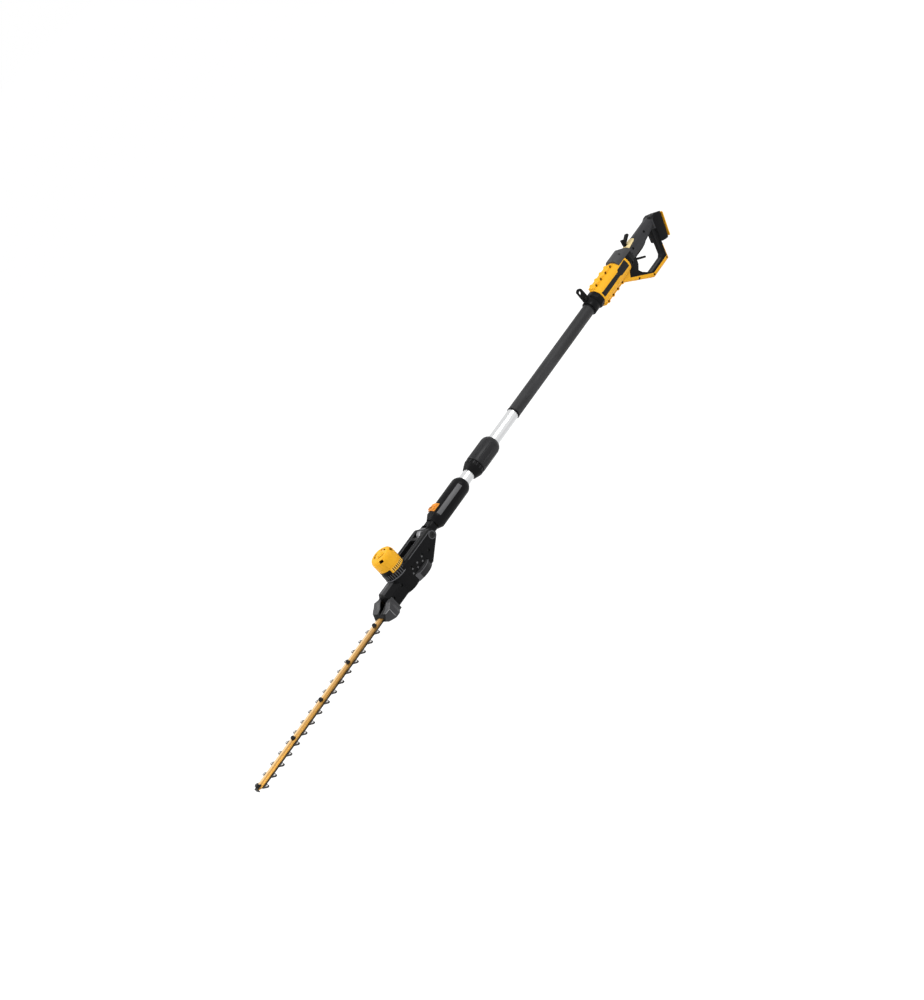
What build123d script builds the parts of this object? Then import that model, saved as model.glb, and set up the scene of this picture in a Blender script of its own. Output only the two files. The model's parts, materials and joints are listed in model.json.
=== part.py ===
from build123d import *
import os
from math import cos, pi, radians, sin

# Pole hedge trimmer. Millimetres. While it is being modelled, the pole lies on the X axis with
# X = 0 at the head's tilt pivot, +X towards the hand grip and +Z on the motor's side.
# The whole part is moved at the end so that its origin is the bottom centre of its box.

# ------------------------------------------------------------------ clearances and walls
RUN = 0.05                # radial clearance of a running fit
FREE = 0.3                # gap between pieces that pass each other
WALL = 2.6                # moulded shell wall
FAR = 400.0               # larger than any section, for cutting blocks

# ------------------------------------------------------------------ pole
TUBE_D = 34.0
TUBE_WALL = 1.6
SLEEVE_WALL = 1.6
SLEEVE_LENGTH = 429.0
UPPER_BARE = 109.0        # bright tube between the nut and the sleeve
LOWER_BARE = 32.0         # bright tube between the lower housing and the coupling
NUT_D = 58.0
NUT_LENGTH = 91.0
NUT_FLUTES = 12
NUT_DOME = 18.0
RING_D = 55.0
RING_MOUTH_D = 41.0
RING_LENGTH = 33.0
RING_CONE = 18.0
SOCKET_D = 48.0           # threaded socket under the nut
TUBE_INSERT = 30.0        # lower tube's reach inside the socket
CONTACT_LENGTH = 9.0
LEAD_D = 6.4

# ------------------------------------------------------------------ lower housing, knuckle and lock
HOUSING_D = 54.0
HOUSING_LENGTH = 154.0
HOUSING_FRONT_D = 38.0
HOUSING_CONE = 15.0
HOUSING_DOME = 15.0
INLAY_DEPTH = 1.2
HOUSING_INLAY_LOW = 17.0  # degrees above the horizontal
HOUSING_INLAY_HIGH = 46.0
HOUSING_INLAY_LENGTH = 108.0
NECK_REACH = 41.0         # pivot to the housing's front face
NECK_TAIL = 51.0          # neck inside the housing
NECK_W = 31.0
NECK_H = 29.0
CHEEK_W = 6.4             # each of the two cheeks beside the sector
SECTOR_R = 20.0
SECTOR_STOPS = 7          # tilt stops over half a turn
NOTCH_W = 5.2
NOTCH_DEPTH = 4.6
PIVOT_D = 10.0
PIVOT_HEAD_D = 17.0
PIVOT_HEAD_H = 4.0
PLUNGER_D = 9.0
PLUNGER_TRAVEL = 5.5
SPRING_WIRE = 1.1
SLIDER_X = 77.0           # pivot to the middle of the thumb slider
SLIDER_LENGTH = 27.0
SLIDER_HALF_ANGLE = 29.0
SLIDER_THICK = 2.4
SLIDER_RIDGE = 3.6
POST_LENGTH = 8.0         # slider's post, along the pole and across it
POST_W = 6.0
PEG_R = 2.0               # peg under the post, in the plunger
PEG_END = 1.0

# ------------------------------------------------------------------ head
HEAD_W = 72.0
HEAD_TOP = 17.0
HEAD_BOTTOM = -51.0
HEAD_BEVEL = 4.0
TAPER_X = -49.0           # where the underside starts to rise towards the ears
NOSE_W = 50.0
NOSE_SHOULDER = -15.0
NOSE_RIDGE = 3.0
NOSE_TIP_X = -211.0
RECESS_X0 = -95.0
RECESS_X1 = -34.0
RECESS_W = 30.0
RECESS_DEPTH = 10.0
SLOT_BACK_X = -24.0       # back wall of the slot between the ears
VENT_R = 2.4
VENT_PITCH = 22.0
VENT_ROW_LOW = -22.5
VENT_ROW_HIGH = -12.5
MOTOR_X = -132.0
MOTOR_D = 69.0
CAN_BASE = 2.0
CAN_TOP = 34.0
CAN_FLOOR = 4.0
CAP_TOP = 72.0
CAP_SHOULDER = 60.0
SKIRT_DROP = 12.0
SKIRT_HALF_ANGLE = 40.0
SKIRT_THICK = 1.6
PORT_W = 12.0              # shoulder ports of the cap
PORT_H = 8.0
ROOF_SLOT_R = 17.0
ROOF_SLOT_W = 5.0
STATOR_LENGTH = 22.0
ROTOR_D = 38.0
AIR_GAP = 1.0
SHAFT_D = 8.0
FAN_D = 58.0
FAN_BLADES = 9
BEARING_D = 18.0
BEARING_W = 4.0
GEAR_X = -88.0
GEAR_CASE_D = 92.0
GEAR_CASE_TOP = -27.0
GEAR_CASE_WALL = 4.0
GEAR_CASE_ROUND = 5.0
GEAR_TEETH = 70
PINION_TEETH = 10
PINION_SHAFT_R = 2.5
BACKLASH = 0.12           # taken off each flank of a tooth, in modules
GEAR_THICK = 7.0
CRANK_D = 10.0
ECCENTRIC_D = 18.0
COVER_THICK = 2.5

# ------------------------------------------------------------------ blades
BLADE_REACH = 811.0       # pivot to the tip of the bar
TOOTH_PITCH = 33.0
TOOTH_COUNT = 16
FIRST_TOOTH = 16.0        # bar tip to the first tooth
STRIP_W = 26.0
TOOTH_SPAN = 64.0         # tooth tip to tooth tip, across
TOOTH_ROOT = 15.0
TOOTH_TIP = 7.0
TOOTH_EASE = 2.0          # cut-off corners at a tooth's end
BLADE_THICK = 2.2
BLADE_GAP = 0.2
BAR_W = 30.0
BAR_THICK = 3.0
BAR_TOP = -37.4
BAR_REAR_X = -158.0
STROKE = 16.0             # full stroke of each blade
BOLT_D = 6.0
BOLT_HEAD_D = 11.0
BOLT_HEAD_H = 8.0
BOLT_FIRST = 158.0        # bar tip to the first slotted bolt
BOLT_PITCH = 123.0
BOLT_COUNT = 4
TIP_BOLT = 7.0
GUARD_W = 77.0
GUARD_FRONT_W = 48.0
GUARD_REACH = 52.0        # guard's front ahead of the nose tip
GUARD_OVERLAP = 6.0
GUARD_BOTTOM = -55.5
GUARD_TOP = -15.0
GUARD_BROW = -28.0        # top of the guard's front
GUARD_THICK = 3.6

# ------------------------------------------------------------------ hand-grip end
CLAMP_LENGTH = 23.0
CLAMP_D = 46.0
EYE_D = 10.0
EYE_HEIGHT = 53.5
EAR_W = 25.0
EAR_THICK = 5.0
CLAMP_SPLIT = 1.2
CLAMP_SCREW_D = 4.0
COLLAR_LENGTH = 23.0
COLLAR_D = 53.0
COLLAR_FLATS = 51.5       # across the flats of the eight-sided collar
COLLAR_FRONT_D = 40.0
BARREL_W = 60.0
BARREL_H = 62.0
BARREL_NOSE = 12.0
BARREL_LENGTH = 150.0
TUBE_SEAT = 58.0          # upper tube inside the body
FLANGE_W = 24.0
FLANGE_LENGTH = 106.0
SCREW_FIRST = 18.0
SCREW_PITCH = 27.0
SCREW_COUNT = 4
SCREW_ROW_Z = 30.5
SCREW_D = 3.6
SCREW_HEAD_D = 7.8
SCREW_HEAD_H = 2.6
SCREW_SINK = 3.0          # how deep a screw's head lies under the surface
BOSS_D = 12.8
COVER_START = 116.0
COVER_END = 187.0
COVER_BASE = 16.0
COVER_TOP = 41.0
COVER_W = 50.0
STRIPE_START = 4.0
STRIPE_LOW = -6.0
STRIPE_HIGH = 10.0
WINDOW_START = 99.0
WINDOW_END = 143.0
WINDOW_LOW = -9.0
WINDOW_HIGH = 15.0
GRIP_W = 36.0
GRIP_TOP = 24.0
GRIP_BOTTOM = -20.0
GRIP_START = 188.0
GRIP_ROUND = 15.0
GRIP_WAIST = 236.0        # where the underside starts to rise
GRIP_THIN = -6.0          # underside at the grip's end
LOOP_W = 26.0
LOOP_BOTTOM = -107.0
LOOP_FRONT = 207.0        # body front to the loop's lower front corner
LOOP_REAR = 294.0
LOOP_BEVEL = 3.0
LOOP_SLOPE = 73.0         # run of the loop's front arm
LOOP_CORNER_Z = -56.0     # where the front arm turns up to the barrel
LEG_TOP_X = 312.0         # outer edge of the rear leg, under the foot
LEG_TOP_Z = -58.0
LEG_STRIP = 5.0           # yellow strip on the rear leg
STRIP_THICK = 11.0        # yellow strip round the loop
BAND_THICK = 6.5          # black band inside it
FOOT_W = 46.0
FOOT_END = 330.0          # body front to the grip's end, above the foot
FOOT_TOP_X = 369.0        # battery face, upper end
FOOT_TOP_Z = 12.0
FOOT_LOW_X = 334.0        # battery face, lower end
FOOT_LOW_Z = -62.0
RAIL_THICK = 3.0
RAIL_NECK = 5.0
TERMINAL_COUNT = 4
CONTROLLER_LENGTH = 46.0
CONTROLLER_W = 38.0
CONTROLLER_H = 28.0
SWITCH_LENGTH = 30.0
SWITCH_W = 22.0
SWITCH_H = 18.0
TRIGGER_W = 9.0
TRIGGER_SWING = 14.0
TRIGGER_PIN_D = 4.0
TRIGGER_PIN_LENGTH = 28.0
LOCK_W = 12.0
LOCK_SWING = 11.0
LOCK_PIN_D = 3.0
LOCK_PIN_LENGTH = 22.0

# ------------------------------------------------------------------ stations along the pole
TUBE_R = TUBE_D / 2
HOUSING_X0 = NECK_REACH
HOUSING_X1 = HOUSING_X0 + HOUSING_LENGTH
RING_X0 = HOUSING_X1 + LOWER_BARE
NUT_X0 = RING_X0 + RING_LENGTH
NUT_X1 = NUT_X0 + NUT_LENGTH
JOIN_X = NUT_X0 + TUBE_INSERT
SLEEVE_X0 = NUT_X1 + UPPER_BARE
SLEEVE_X1 = SLEEVE_X0 + SLEEVE_LENGTH
CLAMP_X1 = SLEEVE_X1 + CLAMP_LENGTH
BODY_X = CLAMP_X1 + COLLAR_LENGTH
TUBE_END = BODY_X + TUBE_SEAT
NECK_END = HOUSING_X0 + NECK_TAIL
LOWER_TUBE_X0 = NECK_END + 14.0
TIP_X = -BLADE_REACH
BAR_BOTTOM = BAR_TOP - BAR_THICK
UPPER_TOP = BAR_BOTTOM - BLADE_GAP
UPPER_BOTTOM = UPPER_TOP - BLADE_THICK
LOWER_TOP = UPPER_BOTTOM - BLADE_GAP
LOWER_BOTTOM = LOWER_TOP - BLADE_THICK
THROW = STROKE / 2
GEAR_MODULE = 2 * (GEAR_X - MOTOR_X) / (GEAR_TEETH + PINION_TEETH)
GEAR_TOP = GEAR_CASE_TOP - 3.0
GEAR_BOTTOM = GEAR_TOP - GEAR_THICK
BLADE_WAY = STRIP_W / 2 + 4.0
CAN_INNER = MOTOR_D / 2 - WALL
PLUNGER_END = SLIDER_X + 6.0
SPRING_SEAT_X = NECK_END + 7.0
EYE_X = SLEEVE_X1 + CLAMP_LENGTH / 2 - 2.0
CLAMP_SCREW_Z = CLAMP_D / 2 + 8.0
SWITCH_X0 = BODY_X + GRIP_START + 26.0
GRIP_MID_Z = (GRIP_TOP + GRIP_BOTTOM) / 2
GRIP_HALF_H = (GRIP_TOP - GRIP_BOTTOM) / 2
OPENING_BOTTOM = LOOP_BOTTOM + STRIP_THICK + BAND_THICK
BARREL_END = BODY_X + BARREL_LENGTH + 14.0   # where the barrel starts to narrow to the grip
TRIGGER_PIVOT = (BODY_X + GRIP_START - 4.0, -12.0)
LOCK_PIVOT = (BODY_X + GRIP_START + 8.0, GRIP_TOP - 9.0)
SCREW_TIP_Y = 12.0
HEAD_SCREWS = [(-201.0, -24.0), (-160.0, -20.0), (-110.0, -8.0), (-62.0, -10.0), (-38.0, -18.0)]


# ------------------------------------------------------------------ shape helpers
def block(x0, x1, y0, y1, z0, z1):
    return Pos((x0 + x1) / 2, (y0 + y1) / 2, (z0 + z1) / 2) * Box(x1 - x0, y1 - y0, z1 - z0)


def rod_x(radius, x0, x1, y=0.0, z=0.0):
    return Pos((x0 + x1) / 2, y, z) * Rot(0, 90, 0) * Cylinder(radius, x1 - x0)


def rod_y(radius, y0, y1, x=0.0, z=0.0):
    return Pos(x, (y0 + y1) / 2, z) * Rot(90, 0, 0) * Cylinder(radius, y1 - y0)


def rod_z(radius, z0, z1, x=0.0, y=0.0):
    return Pos(x, y, (z0 + z1) / 2) * Cylinder(radius, z1 - z0)


def prism_y(points, half, grow=0.0):
    """Side outline in (x, z), from y = -half to +half; grow widens or narrows the outline."""
    flat = make_face(Polyline(*points, close=True))
    if grow:
        flat = offset(flat, amount=grow, kind=Kind.INTERSECTION)
    return Pos(0, half, 0) * Rot(90, 0, 0) * extrude(flat, amount=2 * half)


def prism_z(points, z0, z1):
    return Pos(0, 0, z0) * extrude(make_face(Polyline(*points, close=True)), amount=z1 - z0)


def prism_x(points, x0, x1):
    """Section outline in (y, z), from x0 to x1."""
    flat = make_face(Polyline(*[(x0, y, z) for y, z in points], close=True))
    return extrude(flat, amount=x1 - x0, dir=(1, 0, 0))


def ease_sides(solid, size):
    """Chamfers the outlines of the two faces that look along Y."""
    ends = solid.faces().sort_by(Axis.Y)
    return chamfer(ends[0].edges() + ends[-1].edges(), size)


def turned_x(points):
    """Closed outline in (x, radius), turned about the pole's axis."""
    return revolve(make_face(Polyline(*points, close=True)), axis=Axis.X)


def turned_z(points, x=0.0, y=0.0):
    """Closed outline in (radius, z), turned about a vertical axis."""
    face = make_face(Polyline(*[(r, 0, z) for r, z in points], close=True))
    return Pos(x, y, 0) * revolve(face, axis=Axis.Z)


def pipe_x(outer, inner, x0, x1):
    return rod_x(outer, x0, x1) - rod_x(inner, x0, x1)


def pipe_z(outer, inner, z0, z1, x=0.0):
    return rod_z(outer, z0, z1, x) - rod_z(inner, z0, z1, x)


def right_side(solid):
    """The half on the +Y side."""
    return solid & block(-2 * FAR - FAR, 4 * FAR, 0, FAR, -FAR, FAR)


def left_side(solid):
    return solid & block(-2 * FAR - FAR, 4 * FAR, -FAR, 0, -FAR, FAR)


def both_sides(solid):
    """The solid and its mirror image across the middle plane, as separate solids."""
    return [solid, mirror(solid, about=Plane.XZ)]


def screw_y(x, z, head_y, tip_y, shank=SCREW_D, head=SCREW_HEAD_D, height=SCREW_HEAD_H):
    """A screw that goes in from the -Y side, its head starting at head_y."""
    return rod_y(head / 2, head_y, head_y + height, x, z) + rod_y(shank / 2, head_y, tip_y, x, z)


def screw_hole_y(x, z, head_y, tip_y, shank=SCREW_D, head=SCREW_HEAD_D, height=SCREW_HEAD_H):
    """The hole for screw_y: an open counterbore down to the head's seat, then the shank."""
    sink = rod_y(head / 2 + FREE, head_y - FAR / 4, head_y + height, x, z)
    return sink + rod_y(shank / 2 + RUN, head_y, tip_y + FREE, x, z)


def coil_x(radius, wire, x0, x1, turns):
    """A compression spring along the pole's axis."""
    pitch = (x1 - x0 - wire) / turns
    path = Helix(pitch=pitch, height=x1 - x0 - wire, radius=radius)
    start = path @ 0
    section = Plane(origin=start, z_dir=path % 0) * Circle(wire / 2)
    spring = sweep(section, path=path, is_frenet=True)
    return Pos(x0 + wire / 2, 0, 0) * Rot(0, 90, 0) * spring


# ------------------------------------------------------------------ tubes, sleeve and coupling
def lower_tube():
    return pipe_x(TUBE_R, TUBE_R - TUBE_WALL, LOWER_TUBE_X0, JOIN_X)


def upper_tube():
    return pipe_x(TUBE_R, TUBE_R - TUBE_WALL, JOIN_X, TUBE_END)


def foam_sleeve():
    return pipe_x(TUBE_R + SLEEVE_WALL, TUBE_R + RUN, SLEEVE_X0, SLEEVE_X1)


def coupling_socket():
    """Threaded plastic socket that both tubes plug into."""
    outer = SOCKET_D / 2
    body = pipe_x(outer, TUBE_R + RUN, NUT_X0 + FREE, NUT_X1 - NUT_DOME)
    for turn in range(3):
        x = NUT_X0 + 12.0 + turn * 6.0
        body += pipe_x(outer + 1.2, outer - 1.0, x, x + 2.5)
    return body


def coupling_nut():
    outer, bore = NUT_D / 2, SOCKET_D / 2 + 1.2 + FREE
    mouth = TUBE_R + FREE
    step = NUT_DOME / 4
    shape = turned_x([
        (NUT_X0, bore), (NUT_X0, outer - 1.5), (NUT_X0 + 1.5, outer),
        (NUT_X1 - NUT_DOME, outer), (NUT_X1 - 2.2 * step, outer - 1.8), (NUT_X1 - step, outer - 5.0),
        (NUT_X1 - 0.3 * step, outer - 8.0), (NUT_X1, outer - 10.5), (NUT_X1, mouth),
        (NUT_X1 - NUT_DOME + FREE, mouth), (NUT_X1 - NUT_DOME + FREE, bore),
    ])
    flute = rod_x(2.6, NUT_X0 + 8.0, NUT_X1 - NUT_DOME - 2.0, 0, outer + 1.6)
    for index in range(NUT_FLUTES):
        shape -= Rot(360.0 * index / NUT_FLUTES, 0, 0) * flute
    return shape


def coupling_ring():
    """Collar fixed on the lower tube, which the nut draws against the socket."""
    rear = RING_X0 + RING_LENGTH - FREE
    return turned_x([
        (RING_X0, TUBE_R + RUN), (RING_X0, RING_MOUTH_D / 2), (RING_X0 + RING_CONE, RING_D / 2),
        (rear - 3.0, RING_D / 2), (rear, RING_D / 2 - 1.5), (rear, TUBE_R + RUN),
    ])


def coupling_contacts():
    """Two plug discs that join the leads inside the tubes."""
    bore = TUBE_R - TUBE_WALL - RUN
    lower = rod_x(bore, JOIN_X - CONTACT_LENGTH, JOIN_X)
    upper = rod_x(bore, JOIN_X, JOIN_X + CONTACT_LENGTH)
    return [lower, upper]


def power_lead():
    """The leads on each side of the coupling, from the controller to the neck."""
    controller_x = BODY_X + TUBE_SEAT + 6.0
    upper = rod_x(LEAD_D / 2, JOIN_X + CONTACT_LENGTH, controller_x)
    lower = rod_x(LEAD_D / 2, LOWER_TUBE_X0 + 4.0, JOIN_X - CONTACT_LENGTH)
    return [upper, lower]


# ------------------------------------------------------------------ lower housing
def housing_outline(inset=0.0):
    """Turned outline of the lower housing, drawn in by inset."""
    outer = HOUSING_D / 2 - inset
    x0, x1 = HOUSING_X0 + inset, HOUSING_X1 - inset
    return turned_x([
        (x0, 0), (x0, HOUSING_FRONT_D / 2 - inset), (HOUSING_X0 + HOUSING_CONE, outer),
        (HOUSING_X1 - HOUSING_DOME, outer), (HOUSING_X1 - 0.6 * HOUSING_DOME, outer - 1.4),
        (HOUSING_X1 - 0.25 * HOUSING_DOME, outer - 4.2), (x1, outer - 7.0), (x1, 0),
    ])


def wedge_x(low, high, x0, x1, radius=FAR / 4):
    """A slice of a disc about the pole's axis, between two angles from +Y towards +Z."""
    middle = (low + high) / 2
    corners = [(0, 0)]
    for angle in (low, middle, high):
        corners.append((radius * cos(radians(angle)), radius * sin(radians(angle))))
    return prism_x(corners, x0, x1)


def housing_inlay_zone():
    x0 = HOUSING_X0 + HOUSING_CONE + 8.0
    return wedge_x(HOUSING_INLAY_LOW, HOUSING_INLAY_HIGH, x0, x0 + HOUSING_INLAY_LENGTH)


def housing_skin():
    radius = HOUSING_D / 2
    return pipe_x(radius, radius - INLAY_DEPTH, HOUSING_X0, HOUSING_X1)


def housing_inlays():
    return both_sides(housing_skin() & housing_inlay_zone())


def slider_slot(half_width):
    """The slot that the thumb slider's post runs in, forward from where it is held back."""
    x0 = SLIDER_X - POST_LENGTH / 2 - PLUNGER_TRAVEL - FREE
    x1 = SLIDER_X + POST_LENGTH / 2 + FREE
    return block(x0, x1, -half_width, half_width, 0, HOUSING_D)


def neck_section(grow=0.0):
    half_w, half_h, corner = NECK_W / 2 + grow, NECK_H / 2 + grow, 5.0
    return [
        (-half_w, -half_h + corner), (-half_w + corner, -half_h), (half_w - corner, -half_h),
        (half_w, -half_h + corner), (half_w, half_h - corner), (half_w - corner, half_h),
        (-half_w + corner, half_h), (-half_w, half_h - corner),
    ]


def lower_housing():
    shell = housing_outline() - housing_outline(WALL)
    for x in (HOUSING_X0 + 10.0, NECK_END - 8.0, SPRING_SEAT_X, LOWER_TUBE_X0 + 6.0, HOUSING_X1 - 24.0):
        shell += housing_outline(WALL) & block(x, x + 3.0, -FAR, FAR, -FAR, FAR)
    shell -= prism_x(neck_section(RUN), HOUSING_X0 - 1.0, NECK_END + FREE)
    shell -= rod_x(TUBE_R + RUN, LOWER_TUBE_X0 - FREE, HOUSING_X1 + 1.0)
    shell -= slider_slot(POST_W / 2 + FREE)
    for zone in both_sides(housing_inlay_zone()):
        shell -= housing_skin() & zone
    return shell


def pivot_knuckle():
    """The pole's end of the tilt hinge: two cheeks on a neck that runs back into the housing."""
    half = NECK_W / 2
    cheek = rod_y(NECK_H / 2, -half, half) + block(0, SECTOR_R + 4.0, -half, half, -NECK_H / 2, NECK_H / 2)
    cheek -= block(-FAR, SECTOR_R + 2.0, -half + CHEEK_W, half - CHEEK_W, -FAR, FAR)
    neck = prism_x(neck_section(), SECTOR_R + 2.0, NECK_END)
    body = cheek + neck
    body -= rod_x(PLUNGER_D / 2 + RUN, 0, NECK_END + 1.0)
    body -= slider_slot(POST_W / 2 + FREE)
    return body - rod_y(PIVOT_D / 2 + RUN, -FAR, FAR)


def detent_sector():
    """Notched disc on the head's side of the hinge; the plunger drops into one notch a stop."""
    half = NECK_W / 2 - CHEEK_W - FREE
    disc = rod_y(SECTOR_R, -half, half)
    for stop in range(SECTOR_STOPS):
        angle = -90.0 + 180.0 * stop / (SECTOR_STOPS - 1)
        notch = block(SECTOR_R - NOTCH_DEPTH, SECTOR_R + 5.0, -half - 1, half + 1, -NOTCH_W / 2, NOTCH_W / 2)
        disc -= Rot(0, angle, 0) * notch
    tongue = block(SLOT_BACK_X, -SECTOR_R + 6.0, -half, half, -11.0, 11.0)
    return disc + tongue - rod_y(PIVOT_D / 2 + RUN, -FAR, FAR)


def plunger():
    """Lock plunger, drawn back out of the notch; it runs forward by its travel to lock."""
    tip = SECTOR_R - NOTCH_DEPTH + FREE + PLUNGER_TRAVEL
    half = NOTCH_W / 2 - 2 * RUN
    shoulder = SECTOR_R + 2.0 + PLUNGER_TRAVEL
    blade = block(tip, shoulder + 1.0, -PLUNGER_D, PLUNGER_D, -half, half) & rod_x(PLUNGER_D / 2, 0, FAR)
    body = rod_x(PLUNGER_D / 2, shoulder, PLUNGER_END)
    return blade + body - rod_z(PEG_R, PEG_END - FREE, FAR, SLIDER_X)


def plunger_spring():
    return coil_x(PLUNGER_D / 2 - SPRING_WIRE, SPRING_WIRE, PLUNGER_END, SPRING_SEAT_X, 4)


def release_slider():
    """Thumb saddle on top of the lower housing, with a post down into the plunger."""
    inner = HOUSING_D / 2 + FREE
    outer = inner + SLIDER_THICK
    x0, x1 = SLIDER_X - SLIDER_LENGTH / 2, SLIDER_X + SLIDER_LENGTH / 2
    low, high = 90.0 - SLIDER_HALF_ANGLE, 90.0 + SLIDER_HALF_ANGLE
    saddle = pipe_x(outer, inner, x0, x1) & wedge_x(low, high, x0, x1)
    ridge = pipe_x(outer + SLIDER_RIDGE, inner, x0 + 2.0, x0 + 11.0)
    ridge &= wedge_x(90.0 - 0.7 * SLIDER_HALF_ANGLE, 90.0 + 0.7 * SLIDER_HALF_ANGLE, x0, x1)
    rear = pipe_x(outer + 0.6 * SLIDER_RIDGE, inner, x1 - 12.0, x1 - 4.0)
    rear &= wedge_x(90.0 - 0.7 * SLIDER_HALF_ANGLE, 90.0 + 0.7 * SLIDER_HALF_ANGLE, x0, x1)
    half_l, half_w = POST_LENGTH / 2, POST_W / 2
    post = block(SLIDER_X - half_l, SLIDER_X + half_l, -half_w, half_w, PLUNGER_D / 2 + RUN, inner + 1.0)
    peg = rod_z(PEG_R - RUN, PEG_END, inner, SLIDER_X)
    return saddle + ridge + rear + post + peg


# ------------------------------------------------------------------ head shells
def head_main(inset=0.0):
    """Body and ears behind the motor, seen from the side."""
    outline = [
        (MOTOR_X, HEAD_TOP), (0, HEAD_TOP), (HEAD_TOP * 0.72, -HEAD_TOP * 0.72),
        (TAPER_X, HEAD_BOTTOM), (MOTOR_X, HEAD_BOTTOM),
    ]
    body = prism_y(outline, HEAD_W / 2 - inset, -inset)
    if inset == 0:
        body = ease_sides(body, HEAD_BEVEL)
        ear = ease_sides(rod_y(HEAD_TOP, -HEAD_W / 2, HEAD_W / 2), HEAD_BEVEL)
        body += ear
    return body


def nose_section(inset=0.0):
    half, corner = NOSE_W / 2 - inset, 4.0
    ridge = 7.0
    return [
        (-half, HEAD_BOTTOM + corner), (-half + corner, HEAD_BOTTOM + inset),
        (half - corner, HEAD_BOTTOM + inset), (half, HEAD_BOTTOM + corner),
        (half, NOSE_SHOULDER - inset / 2), (ridge, NOSE_RIDGE - inset), (-ridge, NOSE_RIDGE - inset),
        (-half, NOSE_SHOULDER - inset / 2),
    ]


def head_shells():
    outer = head_main()
    outer += prism_x(nose_section(), NOSE_TIP_X, MOTOR_X)
    outer += rod_z(MOTOR_D / 2, HEAD_BOTTOM, CAN_BASE, MOTOR_X)

    cavity = head_main(WALL) & block(MOTOR_X, SLOT_BACK_X - WALL, -FAR, FAR, -FAR, HEAD_TOP)
    cavity -= block(RECESS_X0 - WALL, RECESS_X1 + WALL, -FAR, FAR, HEAD_TOP - RECESS_DEPTH - WALL, FAR)
    cavity += prism_x(nose_section(WALL), NOSE_TIP_X + WALL, MOTOR_X)
    cavity += rod_z(MOTOR_D / 2 - WALL, HEAD_BOTTOM + WALL, CAN_BASE + 1.0, MOTOR_X)
    shell = outer - cavity

    # rib that carries the rear of the blade bar, under the nose ridge
    seat = block(NOSE_TIP_X + WALL, BAR_REAR_X, -9.0, 9.0, BAR_TOP, NOSE_RIDGE - WALL)
    shell += seat & cavity
    for x, z in HEAD_SCREWS:
        half = head_half_width(x) - WALL / 2
        shell += rod_y(SCREW_HEAD_D / 2 + 2.0, -half, half, x, z)

    # openings: motor, blades, gear case, slot between the ears, recess on top, pivot, screws
    shell -= rod_z(MOTOR_D / 2 + RUN, CAN_BASE, FAR, MOTOR_X)
    blade_mouth = NOSE_TIP_X + 2 * WALL
    shell -= block(NOSE_TIP_X - 1.0, blade_mouth, -BLADE_WAY, BLADE_WAY, LOWER_BOTTOM - 1.5, BAR_TOP)
    shell -= rod_z(GEAR_CASE_D / 2 + RUN, HEAD_BOTTOM - 1.0, GEAR_CASE_TOP + RUN, GEAR_X)
    slot = NECK_W / 2 + FREE
    shell -= block(SLOT_BACK_X, FAR, -slot, slot, -FAR, FAR)
    shell -= block(RECESS_X0, RECESS_X1, -RECESS_W / 2, RECESS_W / 2, HEAD_TOP - RECESS_DEPTH, FAR)
    shell -= rod_y(PIVOT_D / 2 + RUN, -FAR, FAR)
    shell -= rod_y(PIVOT_HEAD_D / 2 + RUN, -FAR, -HEAD_W / 2 + PIVOT_HEAD_H)
    shell -= rod_y(PIVOT_HEAD_D / 2 + RUN, HEAD_W / 2 - PIVOT_HEAD_H, FAR)
    for x, z in HEAD_SCREWS:
        shell -= screw_hole_y(x, z, head_screw_y(x), SCREW_TIP_Y)
    for x, z in vent_places():
        shell -= rod_y(VENT_R, -FAR, -HEAD_W / 2 + 1.6, x, z) + rod_y(VENT_R, HEAD_W / 2 - 1.6, FAR, x, z)
    return shell


def head_half_width(x):
    """Half the head's width at a station: the nose, the round under the motor, the body."""
    if x >= MOTOR_X:
        return HEAD_W / 2
    round_r = MOTOR_D / 2
    return max(NOSE_W / 2, max(round_r ** 2 - (x - MOTOR_X) ** 2, 0.0) ** 0.5)


def head_screw_y(x):
    return -head_half_width(x) + SCREW_SINK


def vent_places():
    """Two staggered rows of round vents on each side of the head."""
    places = []
    for row, z in enumerate((VENT_ROW_LOW, VENT_ROW_HIGH)):
        for column in range(3):
            places.append((GEAR_X - 1.3 * VENT_PITCH + 7.0 * row + VENT_PITCH * column, z))
    return places


def head_screws():
    return [screw_y(x, z, head_screw_y(x), SCREW_TIP_Y) for x, z in HEAD_SCREWS]


def pivot_bolt():
    head = rod_y(PIVOT_HEAD_D / 2, -HEAD_W / 2, -HEAD_W / 2 + PIVOT_HEAD_H)
    socket = rod_y(3.5, -HEAD_W / 2 - 1.0, -HEAD_W / 2 + 2.4)
    return head + rod_y(PIVOT_D / 2, -HEAD_W / 2, HEAD_W / 2) - socket


def pivot_nut():
    nut = rod_y(PIVOT_HEAD_D / 2, HEAD_W / 2 - PIVOT_HEAD_H, HEAD_W / 2)
    return nut - rod_y(PIVOT_D / 2 + RUN, 0, FAR)


# ------------------------------------------------------------------ motor
def motor_can():
    """Black cup round the motor, with cooling slots on both sides."""
    can = pipe_z(MOTOR_D / 2, CAN_INNER, CAN_BASE, CAN_TOP, MOTOR_X)
    can += rod_z(MOTOR_D / 2, CAN_BASE, CAN_BASE + CAN_FLOOR, MOTOR_X)
    can -= rod_z(BEARING_D / 2 + RUN, CAN_BASE - 1.0, CAN_TOP, MOTOR_X)
    slot = block(CAN_INNER - 1.0, MOTOR_D, -1.6, 1.6, CAN_BASE + 9.0, CAN_TOP - 9.0)
    for side in (-1, 1):
        for index in range(5):
            angle = side * (105.0 + 12.0 * index)
            can -= Pos(MOTOR_X, 0, 0) * Rot(0, 0, angle) * slot
    return can


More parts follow.
